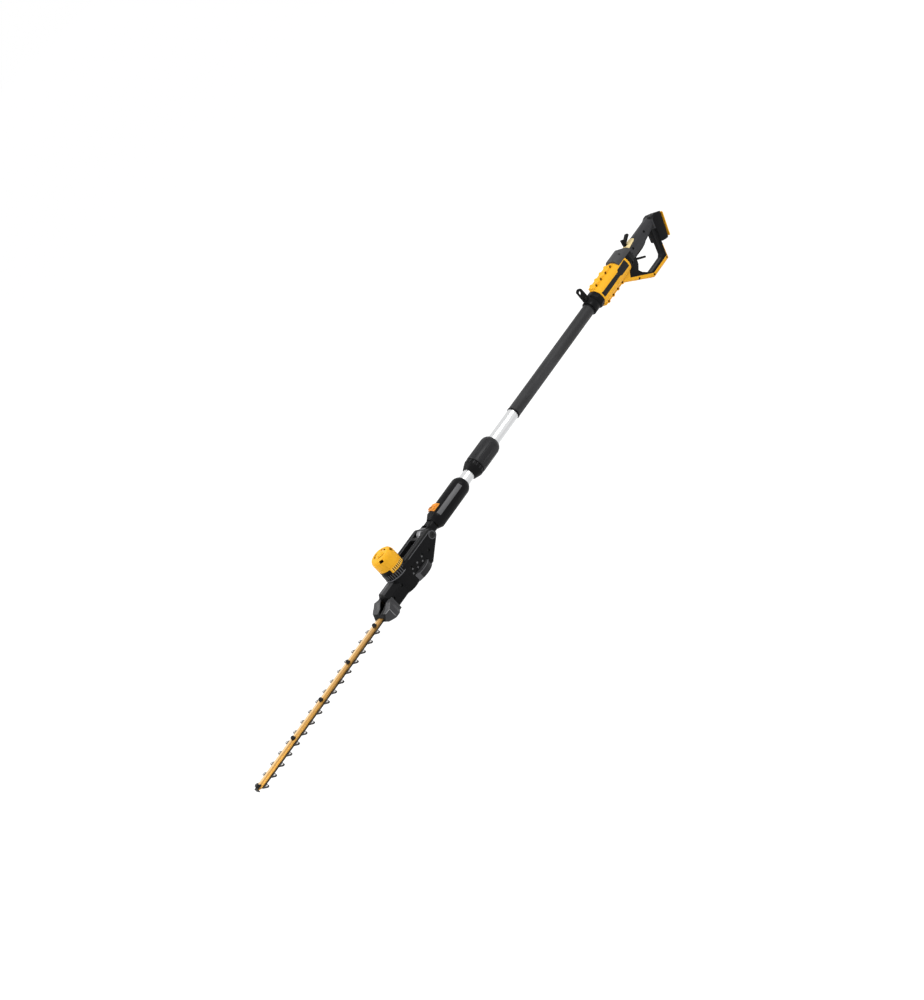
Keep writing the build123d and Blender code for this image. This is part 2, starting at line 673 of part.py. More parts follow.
def motor_cap():
    """Yellow dome with four shoulder ports, three roof slots and a windowed skirt on each side."""
    outer, inner = MOTOR_D / 2, MOTOR_D / 2 - WALL
    roof = CAP_TOP - WALL
    cap = turned_z([
        (0, CAP_TOP), (outer - 9.0, CAP_TOP), (outer - 4.0, CAP_TOP - 3.0), (outer - 1.2, CAP_TOP - 8.0),
        (outer, CAP_SHOULDER), (outer, CAN_TOP), (inner, CAN_TOP), (inner, CAP_SHOULDER),
        (inner - 1.2, CAP_TOP - 9.0), (outer - 10.0, roof), (0, roof),
    ], MOTOR_X)
    cap += pipe_z(BEARING_D / 2 + 3.0, BEARING_D / 2 + RUN, roof - 11.0, roof, MOTOR_X)
    skirt_r = outer + FREE + SKIRT_THICK
    skirt = pipe_z(skirt_r, outer + FREE, CAN_TOP - SKIRT_DROP, CAN_TOP + 2.0, MOTOR_X)
    skirt += pipe_z(skirt_r, outer - 1.0, CAN_TOP, CAN_TOP + 3.0, MOTOR_X)
    reach = FAR / 4
    half = radians(SKIRT_HALF_ANGLE)
    wedge = prism_z([(0, 0), (reach * sin(half), -reach * cos(half)), (0, -reach * 1.2),
                     (-reach * sin(half), -reach * cos(half))], 0, CAP_TOP)
    wedge += mirror(wedge, about=Plane.XZ)
    skirt &= Pos(MOTOR_X, 0, 0) * wedge
    slit = block(outer - 0.5, MOTOR_D, -1.0, 1.0, CAN_TOP - SKIRT_DROP + 3.0, CAN_TOP - 1.5)
    for side in (-1, 1):
        for index in range(-3, 4):
            skirt -= Pos(MOTOR_X, 0, 0) * Rot(0, 0, side * 90.0 + 9.0 * index) * slit
    cap += skirt
    port = Pos(outer - 5.0, 0, 0) * Rot(0, -35, 0) * Box(16.0, PORT_W, PORT_H)
    for index in range(4):
        cap -= Pos(MOTOR_X, 0, CAP_SHOULDER + 4.0) * Rot(0, 0, 45.0 + 90.0 * index) * port
    for index in range(3):
        cap -= Pos(MOTOR_X, 0, 0) * Rot(0, 0, 120.0 * index) * roof_slot()
    return cap


def roof_slot():
    """A curved slot through the cap's roof, a sixth of a turn long, round at its ends."""
    half, reach = radians(30.0), FAR / 4
    low, high, middle = CAP_SHOULDER, CAP_TOP + 1.0, ROOF_SLOT_W / 2
    slot = pipe_z(ROOF_SLOT_R + middle, ROOF_SLOT_R - middle, low, high)
    slot &= prism_z([(0, 0), (reach * cos(half), -reach * sin(half)), (reach * cos(half), reach * sin(half))],
                    low, high)
    for turn in (-half, half):
        slot += rod_z(middle, low, high, ROOF_SLOT_R * cos(turn), ROOF_SLOT_R * sin(turn))
    return slot


def stator():
    base = CAN_BASE + CAN_FLOOR
    core = pipe_z(CAN_INNER - RUN, ROTOR_D / 2 + AIR_GAP, base, base + STATOR_LENGTH, MOTOR_X)
    for index in range(6):
        core -= Pos(MOTOR_X, 0, 0) * Rot(0, 0, 60.0 * index) * block(24.0, 30.0, -6.0, 6.0, CAN_BASE, CAN_TOP)
    return core


def rotor():
    base = CAN_BASE + CAN_FLOOR + 0.5
    drum = rod_z(ROTOR_D / 2, base, base + STATOR_LENGTH - 1.0, MOTOR_X)
    shaft = rod_z(SHAFT_D / 2, CAN_BASE, CAP_TOP - WALL - 1.0, MOTOR_X)
    tail = rod_z(PINION_SHAFT_R, GEAR_BOTTOM, CAN_BASE, MOTOR_X)
    return drum + shaft + tail


def fan():
    base = CAN_TOP + 6.0
    disc = rod_z(FAN_D / 2, base, base + 1.6, MOTOR_X) + rod_z(7.0, base, base + 10.0, MOTOR_X)
    vane = block(8.0, FAN_D / 2 - 1.0, -0.8, 0.8, base, base + 9.0)
    for index in range(FAN_BLADES):
        disc += Pos(MOTOR_X, 0, 0) * Rot(0, 0, 360.0 * index / FAN_BLADES) * vane
    return disc - rod_z(SHAFT_D / 2, 0, FAR, MOTOR_X)


def bearings():
    """Motor bearings in the can's floor and the cap, crank bearings in the case and its cover."""
    motor_low = pipe_z(BEARING_D / 2, SHAFT_D / 2 + RUN, CAN_BASE, CAN_BASE + BEARING_W, MOTOR_X)
    top = CAP_TOP - WALL - 2.0
    motor_high = pipe_z(BEARING_D / 2, SHAFT_D / 2 + RUN, top - BEARING_W, top, MOTOR_X)
    crank_high = pipe_z(BEARING_D / 2, CRANK_D / 2 + RUN, GEAR_CASE_TOP, GEAR_CASE_TOP + BEARING_W, GEAR_X)
    low = HEAD_BOTTOM + COVER_THICK
    crank_low = pipe_z(BEARING_D / 2, CRANK_D / 2 + RUN, low, LOWER_BOTTOM - BLADE_GAP, GEAR_X)
    return [motor_low, motor_high, crank_high, crank_low]


# ------------------------------------------------------------------ gears and crank
def spur(teeth, turn):
    """Straight-flanked spur gear outline about the origin, turned by turn degrees."""
    pitch_r = GEAR_MODULE * teeth / 2
    tip_r, root_r = pitch_r + 0.9 * GEAR_MODULE, pitch_r - 1.15 * GEAR_MODULE
    half_pitch = (pi / 2 * GEAR_MODULE / 2 - BACKLASH * GEAR_MODULE) / pitch_r
    slope = 0.36 * GEAR_MODULE / pitch_r
    points = []
    for tooth in range(teeth):
        middle = radians(turn) + 2 * pi * tooth / teeth
        for radius, half in ((root_r, -half_pitch - slope), (tip_r, -half_pitch + slope),
                             (tip_r, half_pitch - slope), (root_r, half_pitch + slope)):
            points.append((radius * cos(middle + half), radius * sin(middle + half)))
    return points


def pinion():
    gear = Pos(MOTOR_X, 0, 0) * prism_z(spur(PINION_TEETH, 180.0 / PINION_TEETH), GEAR_BOTTOM, GEAR_TOP)
    return gear - rod_z(PINION_SHAFT_R, GEAR_BOTTOM - 1.0, GEAR_TOP + 1.0, MOTOR_X)


def crank_gear():
    """Gear with a tooth pointing at the pinion's gap, lightened by six holes."""
    gear = Pos(GEAR_X, 0, 0) * prism_z(spur(GEAR_TEETH, 180.0), GEAR_BOTTOM, GEAR_TOP)
    for index in range(6):
        angle = radians(60.0 * index + 30.0)
        gear -= rod_z(7.0, GEAR_BOTTOM - 1.0, GEAR_TOP + 1.0, GEAR_X + 22.0 * cos(angle), 22.0 * sin(angle))
    return gear - rod_z(CRANK_D / 2, GEAR_BOTTOM - 1.0, GEAR_TOP + 1.0, GEAR_X)


def crank_shaft():
    """Shaft with two opposite eccentrics, one for each blade."""
    shaft = rod_z(CRANK_D / 2, HEAD_BOTTOM + COVER_THICK + 0.5, GEAR_CASE_TOP + BEARING_W, GEAR_X)
    upper = rod_z(ECCENTRIC_D / 2, UPPER_BOTTOM, UPPER_TOP, GEAR_X, THROW)
    lower = rod_z(ECCENTRIC_D / 2, LOWER_BOTTOM, LOWER_TOP, GEAR_X, -THROW)
    web = rod_z(CRANK_D / 2 + THROW, LOWER_TOP, UPPER_BOTTOM, GEAR_X)
    return shaft + upper + lower + web


def gear_case():
    outer, inner = GEAR_CASE_D / 2, GEAR_CASE_D / 2 - GEAR_CASE_WALL
    roof = GEAR_CASE_TOP - 2.5
    case = rod_z(outer, HEAD_BOTTOM, GEAR_CASE_TOP, GEAR_X)
    case = fillet(case.edges().group_by(Axis.Z)[-1], GEAR_CASE_ROUND)
    case -= rod_z(inner, HEAD_BOTTOM - 1.0, roof, GEAR_X)
    case += rod_z(BEARING_D / 2 + 3.0, GEAR_CASE_TOP - 2.5, GEAR_CASE_TOP + BEARING_W, GEAR_X)
    case -= rod_z(CRANK_D / 2 + 1.0, HEAD_BOTTOM, FAR, GEAR_X)
    case -= rod_z(BEARING_D / 2 + RUN, GEAR_CASE_TOP, FAR, GEAR_X)
    pinion_way = GEAR_MODULE * (PINION_TEETH / 2 + 1) + 1.5
    case -= rod_z(pinion_way, GEAR_BOTTOM - 1.0, FAR, MOTOR_X)
    case -= block(GEAR_X - FAR, GEAR_X, -BLADE_WAY, BLADE_WAY, LOWER_BOTTOM - 1.5, BAR_TOP + 1.0)
    return case


def gear_cover():
    inner = GEAR_CASE_D / 2 - GEAR_CASE_WALL - RUN
    top = HEAD_BOTTOM + COVER_THICK
    cover = rod_z(inner, HEAD_BOTTOM, top, GEAR_X)
    cover += rod_z(BEARING_D / 2 + 3.0, top, LOWER_BOTTOM - 2 * BLADE_GAP, GEAR_X)
    return cover - rod_z(BEARING_D / 2 + RUN, top, FAR, GEAR_X)


# ------------------------------------------------------------------ blades, bar and guard
def bolt_places():
    return [TIP_X + BOLT_FIRST + BOLT_PITCH * index for index in range(BOLT_COUNT)]


def stadium(x, y, radius, half_length, z0, z1):
    """A slot shape along X, round at both ends."""
    body = block(x - half_length, x + half_length, y - radius, y + radius, z0, z1)
    return body + rod_z(radius, z0, z1, x - half_length, y) + rod_z(radius, z0, z1, x + half_length, y)


def blade(bottom, top):
    """One toothed steel blade with its rear ring round the eccentric."""
    half = STRIP_W / 2
    edge = []
    for index in range(TOOTH_COUNT):
        x = TIP_X + FIRST_TOOTH + TOOTH_PITCH * index
        reach, root, side = -TOOTH_SPAN / 2, TOOTH_ROOT / 2, TOOTH_TIP / 2
        edge += [(x - root, -half), (x - side, reach + TOOTH_EASE), (x - side + TOOTH_EASE, reach),
                 (x + side - TOOTH_EASE, reach), (x + side, reach + TOOTH_EASE), (x + root, -half)]
    orbit = ECCENTRIC_D / 2 + THROW + FREE
    rear = GEAR_X - orbit - THROW
    outline = edge + [(rear, -half), (rear, half)] + [(x, -y) for x, y in reversed(edge)]
    plate = prism_z(outline, bottom, top)
    plate += stadium(GEAR_X, 0, orbit + 5.0, THROW, bottom, top)
    plate -= stadium(GEAR_X, 0, orbit, THROW, bottom - 1.0, top + 1.0)
    for x in bolt_places():
        plate -= stadium(x, 0, BOLT_D / 2 + FREE, THROW, bottom - 1.0, top + 1.0)
    return plate


def upper_blade():
    return blade(UPPER_BOTTOM, UPPER_TOP)


def lower_blade():
    return blade(LOWER_BOTTOM, LOWER_TOP)


def blade_bar():
    """Crowned support bar over the blades."""
    half, crown = BAR_W / 2, 4.0
    section = [(-half, BAR_BOTTOM), (half, BAR_BOTTOM), (half, BAR_TOP - 1.2), (crown, BAR_TOP),
               (-crown, BAR_TOP), (-half, BAR_TOP - 1.2)]
    bar = prism_x(section, TIP_X, BAR_REAR_X)
    nose = [(TIP_X, -half / 2), (TIP_X + half / 2, -half), (BAR_REAR_X, -half), (BAR_REAR_X, half),
            (TIP_X + half / 2, half), (TIP_X, half / 2)]
    bar &= prism_z(nose, BAR_BOTTOM - 1.0, BAR_TOP + 1.0)
    for x in bolt_places() + [TIP_X + TIP_BOLT]:
        bar -= rod_z(BOLT_D / 2 + RUN, BAR_BOTTOM - 1.0, BAR_TOP + 1.0, x)
    return bar


def blade_bolts():
    """Bolt, nut and washer stacks that hold the blades under the bar."""
    group = []
    for x in bolt_places():
        shank = rod_z(BOLT_D / 2, LOWER_BOTTOM - 5.0, BAR_TOP + 1.0, x)
        nut = Pos(x, 0, BAR_TOP + 1.2) * extrude(RegularPolygon(BOLT_HEAD_D / 2, 6), amount=BOLT_HEAD_H - 3.0)
        washer = rod_z(BOLT_HEAD_D / 2 + 1.0, BAR_TOP, BAR_TOP + 1.2, x)
        end = rod_z(BOLT_D / 2 - 0.4, BAR_TOP, BAR_TOP + BOLT_HEAD_H, x)
        foot = rod_z(BOLT_HEAD_D / 2, LOWER_BOTTOM - BLADE_GAP - 3.0, LOWER_BOTTOM - BLADE_GAP, x)
        group.append(shank + nut + washer + end + foot)
    return group


def tip_cap():
    """Cap bolted on the bar's tip, ahead of the blades' travel."""
    x = TIP_X + TIP_BOLT
    plate = block(TIP_X - 1.0, TIP_X + 2 * TIP_BOLT, -BAR_W / 4, BAR_W / 4, BAR_TOP, BAR_TOP + 2.0)
    boss = rod_z(BOLT_HEAD_D / 2, BAR_TOP + 2.0, BAR_TOP + BOLT_HEAD_H, x)
    pin = rod_z(BOLT_D / 2, BAR_BOTTOM, BAR_TOP + 2.0, x)
    lip = block(TIP_X - 2.5, TIP_X - FREE, -BAR_W / 4, BAR_W / 4, LOWER_BOTTOM, BAR_TOP + 2.0)
    return plate + boss + pin + lip


def guard_plan(inset=0.0):
    """Guard seen from above: wider than the nose, then drawn in to its front."""
    rear = NOSE_TIP_X + GUARD_OVERLAP if inset == 0 else NOSE_TIP_X
    neck = NOSE_W / 2 + 4.0 - 2 * inset
    wide, front = GUARD_W / 2 - inset, GUARD_FRONT_W / 2 - inset
    side = [(rear, neck), (NOSE_TIP_X - 2.0, neck), (NOSE_TIP_X - 13.0, wide), (NOSE_TIP_X - 27.0, wide),
            (NOSE_TIP_X - GUARD_REACH + inset, front)]
    return side + [(x, -y) for x, y in reversed(side)]


def blade_guard():
    """Hollow bumper on the nose, sloping down to the front, where the bar comes out."""
    rear, front = NOSE_TIP_X + GUARD_OVERLAP, NOSE_TIP_X - GUARD_REACH
    side = [(rear, GUARD_TOP), (NOSE_TIP_X - 13.0, GUARD_TOP - 1.0), (NOSE_TIP_X - 27.0, GUARD_BROW + 3.0),
            (front + 11.0, GUARD_BROW), (front, GUARD_BROW - 15.0), (front + 5.0, GUARD_BROW - 23.0),
            (front + 22.0, GUARD_BOTTOM), (rear, GUARD_BOTTOM)]
    guard = prism_z(guard_plan(), GUARD_BOTTOM, GUARD_TOP) & prism_y(side, FAR / 4)
    guard -= prism_z(guard_plan(GUARD_THICK), GUARD_BOTTOM, GUARD_TOP) & prism_y(side, FAR / 4, -GUARD_THICK)
    guard -= prism_x([(y * 1.001, z) for y, z in nose_section()], NOSE_TIP_X, rear + 1.0)
    way = BLADE_WAY
    return guard - block(front - 1.0, rear + 1.0, -way, way, LOWER_BOTTOM - 1.5, BAR_TOP + RUN)


# ------------------------------------------------------------------ strap clamp and collar
def strap_clamp():
    """Split ring on the tube with a tall ear and an eye for the harness hook."""
    ring = pipe_x(CLAMP_D / 2, TUBE_R + RUN, SLEEVE_X1 + RUN, CLAMP_X1)
    half = EAR_THICK / 2
    foot = EAR_W / 2 + 2.0
    low = TUBE_R + 1.0
    ear = prism_y([(EYE_X - foot, low), (EYE_X + foot, low), (EYE_X + EAR_W / 2, EYE_HEIGHT),
                   (EYE_X - EAR_W / 2, EYE_HEIGHT)], half)
    ear += rod_y(EAR_W / 2, -half, half, EYE_X, EYE_HEIGHT)
    ear &= block(SLEEVE_X1 + RUN, CLAMP_X1, -half, half, 0, FAR)
    clamp = ring + ear - rod_x(TUBE_R + RUN, SLEEVE_X1 - 1.0, CLAMP_X1 + 1.0)
    clamp -= block(SLEEVE_X1 - 1.0, CLAMP_X1 + 1.0, -CLAMP_SPLIT / 2, CLAMP_SPLIT / 2, 0, CLAMP_SCREW_Z + 7.0)
    clamp -= rod_y(EYE_D / 2, -FAR, FAR, EYE_X, EYE_HEIGHT)
    return clamp - rod_y(CLAMP_SCREW_D / 2 + RUN, -FAR, FAR, EYE_X, CLAMP_SCREW_Z)


def clamp_screw():
    half = EAR_THICK / 2
    screw = rod_y(CLAMP_SCREW_D / 2, -half - 3.0, half + 3.0, EYE_X, CLAMP_SCREW_Z)
    screw += rod_y(3.8, -half - 3.6, -half, EYE_X, CLAMP_SCREW_Z)
    nut = Pos(EYE_X, half + 3.0, CLAMP_SCREW_Z) * Rot(90, 0, 0) * extrude(RegularPolygon(4.0, 6), amount=3.0)
    return screw + nut - rod_y(1.7, -half - 4.0, -half - 1.6, EYE_X, CLAMP_SCREW_Z)


def octagon(flats):
    corner = flats / 2 / cos(pi / 8)
    turns = [pi / 8 + pi / 4 * index for index in range(8)]
    return [(corner * cos(turn), corner * sin(turn)) for turn in turns]


def nose_collar():
    """Eight-sided collar with a coned front."""
    outer = COLLAR_D / 2 + 1.0
    collar = turned_x([
        (CLAMP_X1, TUBE_R + RUN), (CLAMP_X1, COLLAR_FRONT_D / 2), (CLAMP_X1 + 9.0, outer),
        (BODY_X - 1.5, outer), (BODY_X, outer - 1.5), (BODY_X, TUBE_R + RUN),
    ])
    return collar & prism_x(octagon(COLLAR_FLATS), CLAMP_X1, BODY_X)


# ------------------------------------------------------------------ hand-grip shells
def at_body(points):
    """Points given from the body's front face, moved to their place along the pole."""
    return [(BODY_X + u, z) for u, z in points]


def ellipse_x(half_w, half_h, x0, x1):
    flat = Plane(origin=(x0, 0, 0), z_dir=(1, 0, 0), x_dir=(0, 1, 0)) * Ellipse(half_w, half_h)
    return extrude(flat, amount=x1 - x0, dir=(1, 0, 0))


def ring_at(x, half_w, half_h, z=0.0):
    return Plane(origin=(x, 0, z), z_dir=(1, 0, 0), x_dir=(0, 1, 0)) * Ellipse(half_w, half_h)


def barrel(inset=0.0):
    half_w, half_h = BARREL_W / 2 - inset, BARREL_H / 2 - inset
    nose_r = COLLAR_D / 2 - inset
    body = loft([ring_at(BODY_X + inset, nose_r, nose_r), ring_at(BODY_X + BARREL_NOSE, half_w, half_h)])
    body += ellipse_x(half_w, half_h, BODY_X + BARREL_NOSE, BARREL_END)
    body += loft([ring_at(BARREL_END, half_w, half_h),
                  ring_at(BODY_X + GRIP_START + 4.0, GRIP_W / 2 - inset, GRIP_HALF_H - inset, GRIP_MID_Z)])
    return body


def grip_section(u, bottom, inset):
    """Rounded section of the grip, u from the body's front face, drawn in by inset."""
    face = Plane(origin=(BODY_X + u, 0, (GRIP_TOP + bottom) / 2), z_dir=(1, 0, 0), x_dir=(0, 1, 0))
    height = GRIP_TOP - bottom
    corner = min(GRIP_ROUND, height / 2 - 1.0)
    return face * RectangleRounded(GRIP_W - 2 * inset, height - 2 * inset, corner - inset)


def grip_bar(inset=0.0):
    """The bar that the hand closes round, thinner towards the foot."""
    start = grip_section(GRIP_START, GRIP_BOTTOM, inset)
    straight = extrude(start, amount=GRIP_WAIST - GRIP_START, dir=(1, 0, 0))
    end = grip_section(FOOT_END - inset, GRIP_THIN, inset)
    return straight + loft([grip_section(GRIP_WAIST, GRIP_BOTTOM, inset), end])


def grip_under(u):
    """Height of the grip's underside."""
    rise = (u - GRIP_WAIST) / (FOOT_END - GRIP_WAIST)
    return GRIP_BOTTOM + (GRIP_THIN - GRIP_BOTTOM) * max(rise, 0.0)


def loop_outline():
    return at_body([
        (FLANGE_LENGTH - 6.0, -BARREL_H / 2 - 2.0), (LOOP_FRONT - LOOP_SLOPE, LOOP_CORNER_Z),
        (LOOP_FRONT, LOOP_BOTTOM), (LOOP_REAR, LOOP_BOTTOM), (LEG_TOP_X, LEG_TOP_Z),
        (LEG_TOP_X + 6.0, -20.0), (GRIP_START, -8.0),
        (FLANGE_LENGTH, -8.0),
    ])


def opening_outline():
    """The finger gap of the D-loop, up to a narrow end under the foot."""
    front, waist, end = GRIP_START + 8.0, GRIP_WAIST, LOOP_REAR + 22.0
    return at_body([
        (front, grip_under(front) + 1.0), (GRIP_START - 1.0, -38.0), (GRIP_START - 15.0, -50.0),
        (GRIP_START - 9.0, -62.0), (LOOP_FRONT, OPENING_BOTTOM), (LOOP_REAR - 14.0, OPENING_BOTTOM),
        (LOOP_REAR - 5.0, OPENING_BOTTOM + 6.0), (LOOP_REAR + 9.0, -47.0),
        (end, grip_under(end) - 4.0), (end - 4.0, grip_under(end - 4.0) + 1.0),
        (waist, grip_under(waist) + 1.0),
    ])


def foot_outline():
    return at_body([
        (LOOP_REAR + 10.0, -30.0), (FOOT_END - 8.0, GRIP_TOP - 6.0), (FOOT_END + 5.0, GRIP_TOP - 2.0),
        (FOOT_END + 16.0, GRIP_TOP - 2.0), (FOOT_TOP_X, FOOT_TOP_Z), (FOOT_LOW_X, FOOT_LOW_Z),
        (LEG_TOP_X + 10.0, FOOT_LOW_Z + 2.0), (LEG_TOP_X - 3.0, FOOT_LOW_Z + 7.0), (LOOP_REAR + 6.0, -48.0),
    ])


def yellow_zone():
    """Side outline of everything moulded in yellow: the barrel and the outer strip of the loop."""
    return at_body([
        (-FAR / 4, FAR / 2), (COVER_START, FAR / 2), (COVER_START, COVER_BASE), (BARREL_LENGTH, COVER_BASE),
        (BARREL_LENGTH, -BARREL_H / 2 + 9.0), (LOOP_FRONT - LOOP_SLOPE - 2.0, -43.0),
        (LOOP_FRONT + 5.0, LOOP_BOTTOM + STRIP_THICK),
        (LOOP_REAR + 4.0 - LEG_STRIP, LOOP_BOTTOM + STRIP_THICK),
        (LEG_TOP_X - 2.0 - LEG_STRIP, LEG_TOP_Z - 6.0), (LEG_TOP_X + FAR / 4, LEG_TOP_Z - 6.0),
        (LEG_TOP_X + FAR / 4, -FAR / 2), (-FAR / 4, -FAR / 2),
    ])


def body_screw_places():
    places = []
    for index in range(SCREW_COUNT):
        for z in (SCREW_ROW_Z, -SCREW_ROW_Z):
            places.append((BODY_X + SCREW_FIRST + SCREW_PITCH * index, z))
    strip = LOOP_BOTTOM + STRIP_THICK / 2
    arm = (LOOP_FRONT - LOOP_SLOPE + 24.0, LOOP_CORNER_Z - 13.0)
    return places + at_body([arm, (LOOP_FRONT + 4.0, strip), (LOOP_REAR - 5.0, strip)])


def grip_screw_places():
    return at_body([(GRIP_START + 15.0, 8.0), (LOOP_REAR - 20.0, 12.0), (COVER_START + 44.0, -12.0)])


def grip_half_width(x, z):
    """Half the width of the grip, or of the round barrel where the place lies on it."""
    if x > BARREL_END:
        return GRIP_W / 2
    return BARREL_W / 2 * (1 - (2 * z / BARREL_H) ** 2) ** 0.5


def cover_seat():
    """The space that the top cover stands in."""
    half = COVER_W / 2 + 8.0
    return block(BODY_X + COVER_START, BODY_X + COVER_END, -half, half, COVER_BASE, FAR)


def handle_cavity():
    wall = WALL
    cavity = barrel(wall) + grip_bar(wall)
    arms = prism_y(loop_outline(), LOOP_W / 2 - wall, -wall)
    arms += prism_y(foot_outline(), FOOT_W / 2 - wall, -wall)
    arms -= prism_y(opening_outline(), FAR / 4, wall)
    cavity += arms
    return cavity - block(BODY_X, BODY_X + 2 * wall, -FAR, FAR, -FAR, FAR)


def handle_outer():
    outer = barrel() + grip_bar()
    for side in (1, -1):
        low, high = sorted((side * 18.0, side * (SCREW_ROW_Z + 3.4)))
        flange = block(BODY_X + 3.0, BODY_X + FLANGE_LENGTH, -FLANGE_W / 2, FLANGE_W / 2, low, high)
        outer += ease_sides(flange, 1.5)
        for index in range(SCREW_COUNT):
            x = BODY_X + SCREW_FIRST + SCREW_PITCH * index
            outer += rod_y(BOSS_D / 2, -FLANGE_W / 2, FLANGE_W / 2, x, side * SCREW_ROW_Z)
    outer += ease_sides(prism_y(loop_outline(), LOOP_W / 2), LOOP_BEVEL)
    outer += ease_sides(prism_y(foot_outline(), FOOT_W / 2), LOOP_BEVEL)
    return outer - prism_y(opening_outline(), FAR / 4) - cover_seat()


def handle_contents():
    """Room for everything that the shells hold on their ribs."""
    room = rod_x(TUBE_R + RUN, BODY_X - 1.0, TUBE_END + FREE)
    room += controller_box(RUN) + switch_space(RUN)
    return room


def controller_box(grow=0.0):
    x0 = TUBE_END + 6.0 - grow
    half_w, half_h = CONTROLLER_W / 2 + grow, CONTROLLER_H / 2 + grow
    return block(x0, x0 + CONTROLLER_LENGTH + 2 * grow, -half_w, half_w, -half_h, half_h)


def switch_space(grow=0.0):
    z0 = GRIP_MID_Z - 4.0
    half_w, half_h = SWITCH_W / 2 + grow, SWITCH_H / 2 + grow
    x0, x1 = SWITCH_X0 - grow, SWITCH_X0 + SWITCH_LENGTH + grow
    return block(x0, x1, -half_w, half_w, z0 - half_h, z0 + half_h)


def handle_whole():
    cavity = handle_cavity()
    shell = handle_outer() - cavity
    ribs = (BODY_X + 6.0, TUBE_END - 9.0, TUBE_END + 12.0, TUBE_END + CONTROLLER_LENGTH - 4.0,
            SWITCH_X0 + 3.0, SWITCH_X0 + SWITCH_LENGTH - 6.0)
    for x in ribs:
        shell += cavity & block(x, x + 2.5, -FAR / 2, FAR / 2, -BARREL_H / 2, FAR / 4)
    for x, z in body_screw_places():
        half = FLANGE_W / 2 - 0.5
        boss = rod_y(SCREW_D / 2 + 2.0, -half, half, x, z)
        shell += boss
    for x, z in grip_screw_places():
        half = grip_half_width(x, z)
        shell += rod_y(SCREW_D / 2 + 2.0, -half, half, x, z) & cavity
    shell -= handle_contents() + cover_seat()
    for x, z in body_screw_places():
        shell -= screw_hole_y(x, z, -FLANGE_W / 2 + SCREW_SINK, SCREW_TIP_Y - 4.0)
    for x, z in grip_screw_places():
        shell -= screw_hole_y(x, z, SCREW_SINK - grip_half_width(x, z), SCREW_TIP_Y - 2.0)
    shell -= barrel_skin() & inlay_zone()
    shell -= trigger_room() + lock_room() + terminal_room()
    return shell


def body_screws():
    return [screw_y(x, z, -FLANGE_W / 2 + SCREW_SINK, SCREW_TIP_Y - 4.0) for x, z in body_screw_places()]


def grip_screws():
    tip = SCREW_TIP_Y - 2.0
    return [screw_y(x, z, SCREW_SINK - grip_half_width(x, z), tip) for x, z in grip_screw_places()]


# ------------------------------------------------------------------ inlays and top cover
def inlay_zone():
    """Side outline of the dark stripe and the wider block at its end."""
    return prism_y(at_body([
        (STRIPE_START, STRIPE_HIGH), (WINDOW_START - 3.0, STRIPE_HIGH - 1.0),
        (WINDOW_START, WINDOW_HIGH - 2.0), (WINDOW_END, WINDOW_HIGH), (WINDOW_END, WINDOW_LOW),
        (WINDOW_START, WINDOW_LOW),
        (WINDOW_START - 3.0, STRIPE_LOW + 1.0), (STRIPE_START, STRIPE_LOW),
    ]), FAR / 4)


def barrel_skin():
    return barrel() - barrel(INLAY_DEPTH)


def side_inlays():
    pair = barrel_skin() & inlay_zone()
    return [right_side(pair), left_side(pair)]


def cover_dome(inset=0.0):
    half_w, rise = COVER_W / 2 - inset, COVER_TOP - COVER_BASE - inset
    x0, x1 = BODY_X + COVER_START + inset, BODY_X + COVER_END - inset
    flat = Plane(origin=(x0, 0, COVER_BASE), z_dir=(1, 0, 0), x_dir=(0, 1, 0)) * Ellipse(half_w, rise)
    dome = extrude(flat, amount=x1 - x0, dir=(1, 0, 0))
    side = at_body([
        (COVER_START, COVER_BASE), (COVER_START, COVER_TOP - 5.0), (COVER_START + 6.0, COVER_TOP),
        (COVER_END - 26.0, COVER_TOP), (COVER_END - 13.0, COVER_TOP - 6.0),
        (COVER_END, GRIP_TOP - 1.0), (COVER_END, COVER_BASE),
    ])
    return dome & prism_y(side, FAR / 4, -inset)


def top_cover():
    """Domed lid over the electronics, with a screw recess on each shoulder."""
    cover = cover_dome() - cover_dome(WALL)
    cover += rod_z(4.0, COVER_BASE, COVER_TOP - 4.0, BODY_X + COVER_END - 30.0) & cover_dome()
    for lean in (-45.0, 45.0):
        turn = Pos(BODY_X + COVER_END - 38.0, 0, COVER_BASE) * Rot(-lean, 0, 0)
        cover -= turn * Pos(0, 0, COVER_W / 2 + 3.6) * Cylinder(SCREW_HEAD_D / 2, 10.0)
    return cover


# ------------------------------------------------------------------ battery foot
def foot_frame():
    """Origin at the middle of the battery face, X out of the face, Z up along it."""
    dx, dz = FOOT_TOP_X - FOOT_LOW_X, FOOT_TOP_Z - FOOT_LOW_Z
    middle = (BODY_X + (FOOT_TOP_X + FOOT_LOW_X) / 2, 0, (FOOT_TOP_Z + FOOT_LOW_Z) / 2)
    return Plane(origin=middle, x_dir=(dz, 0, -dx), z_dir=(dx, 0, dz)), (dx * dx + dz * dz) ** 0.5


def on_foot(solid):
    plane, _ = foot_frame()
    return plane.location * solid


def terminal_room():
    return on_foot(block(-14.0, 1.0, -FOOT_W / 4 - RUN, FOOT_W / 4 + RUN, -14.0 - RUN, 14.0 + RUN))


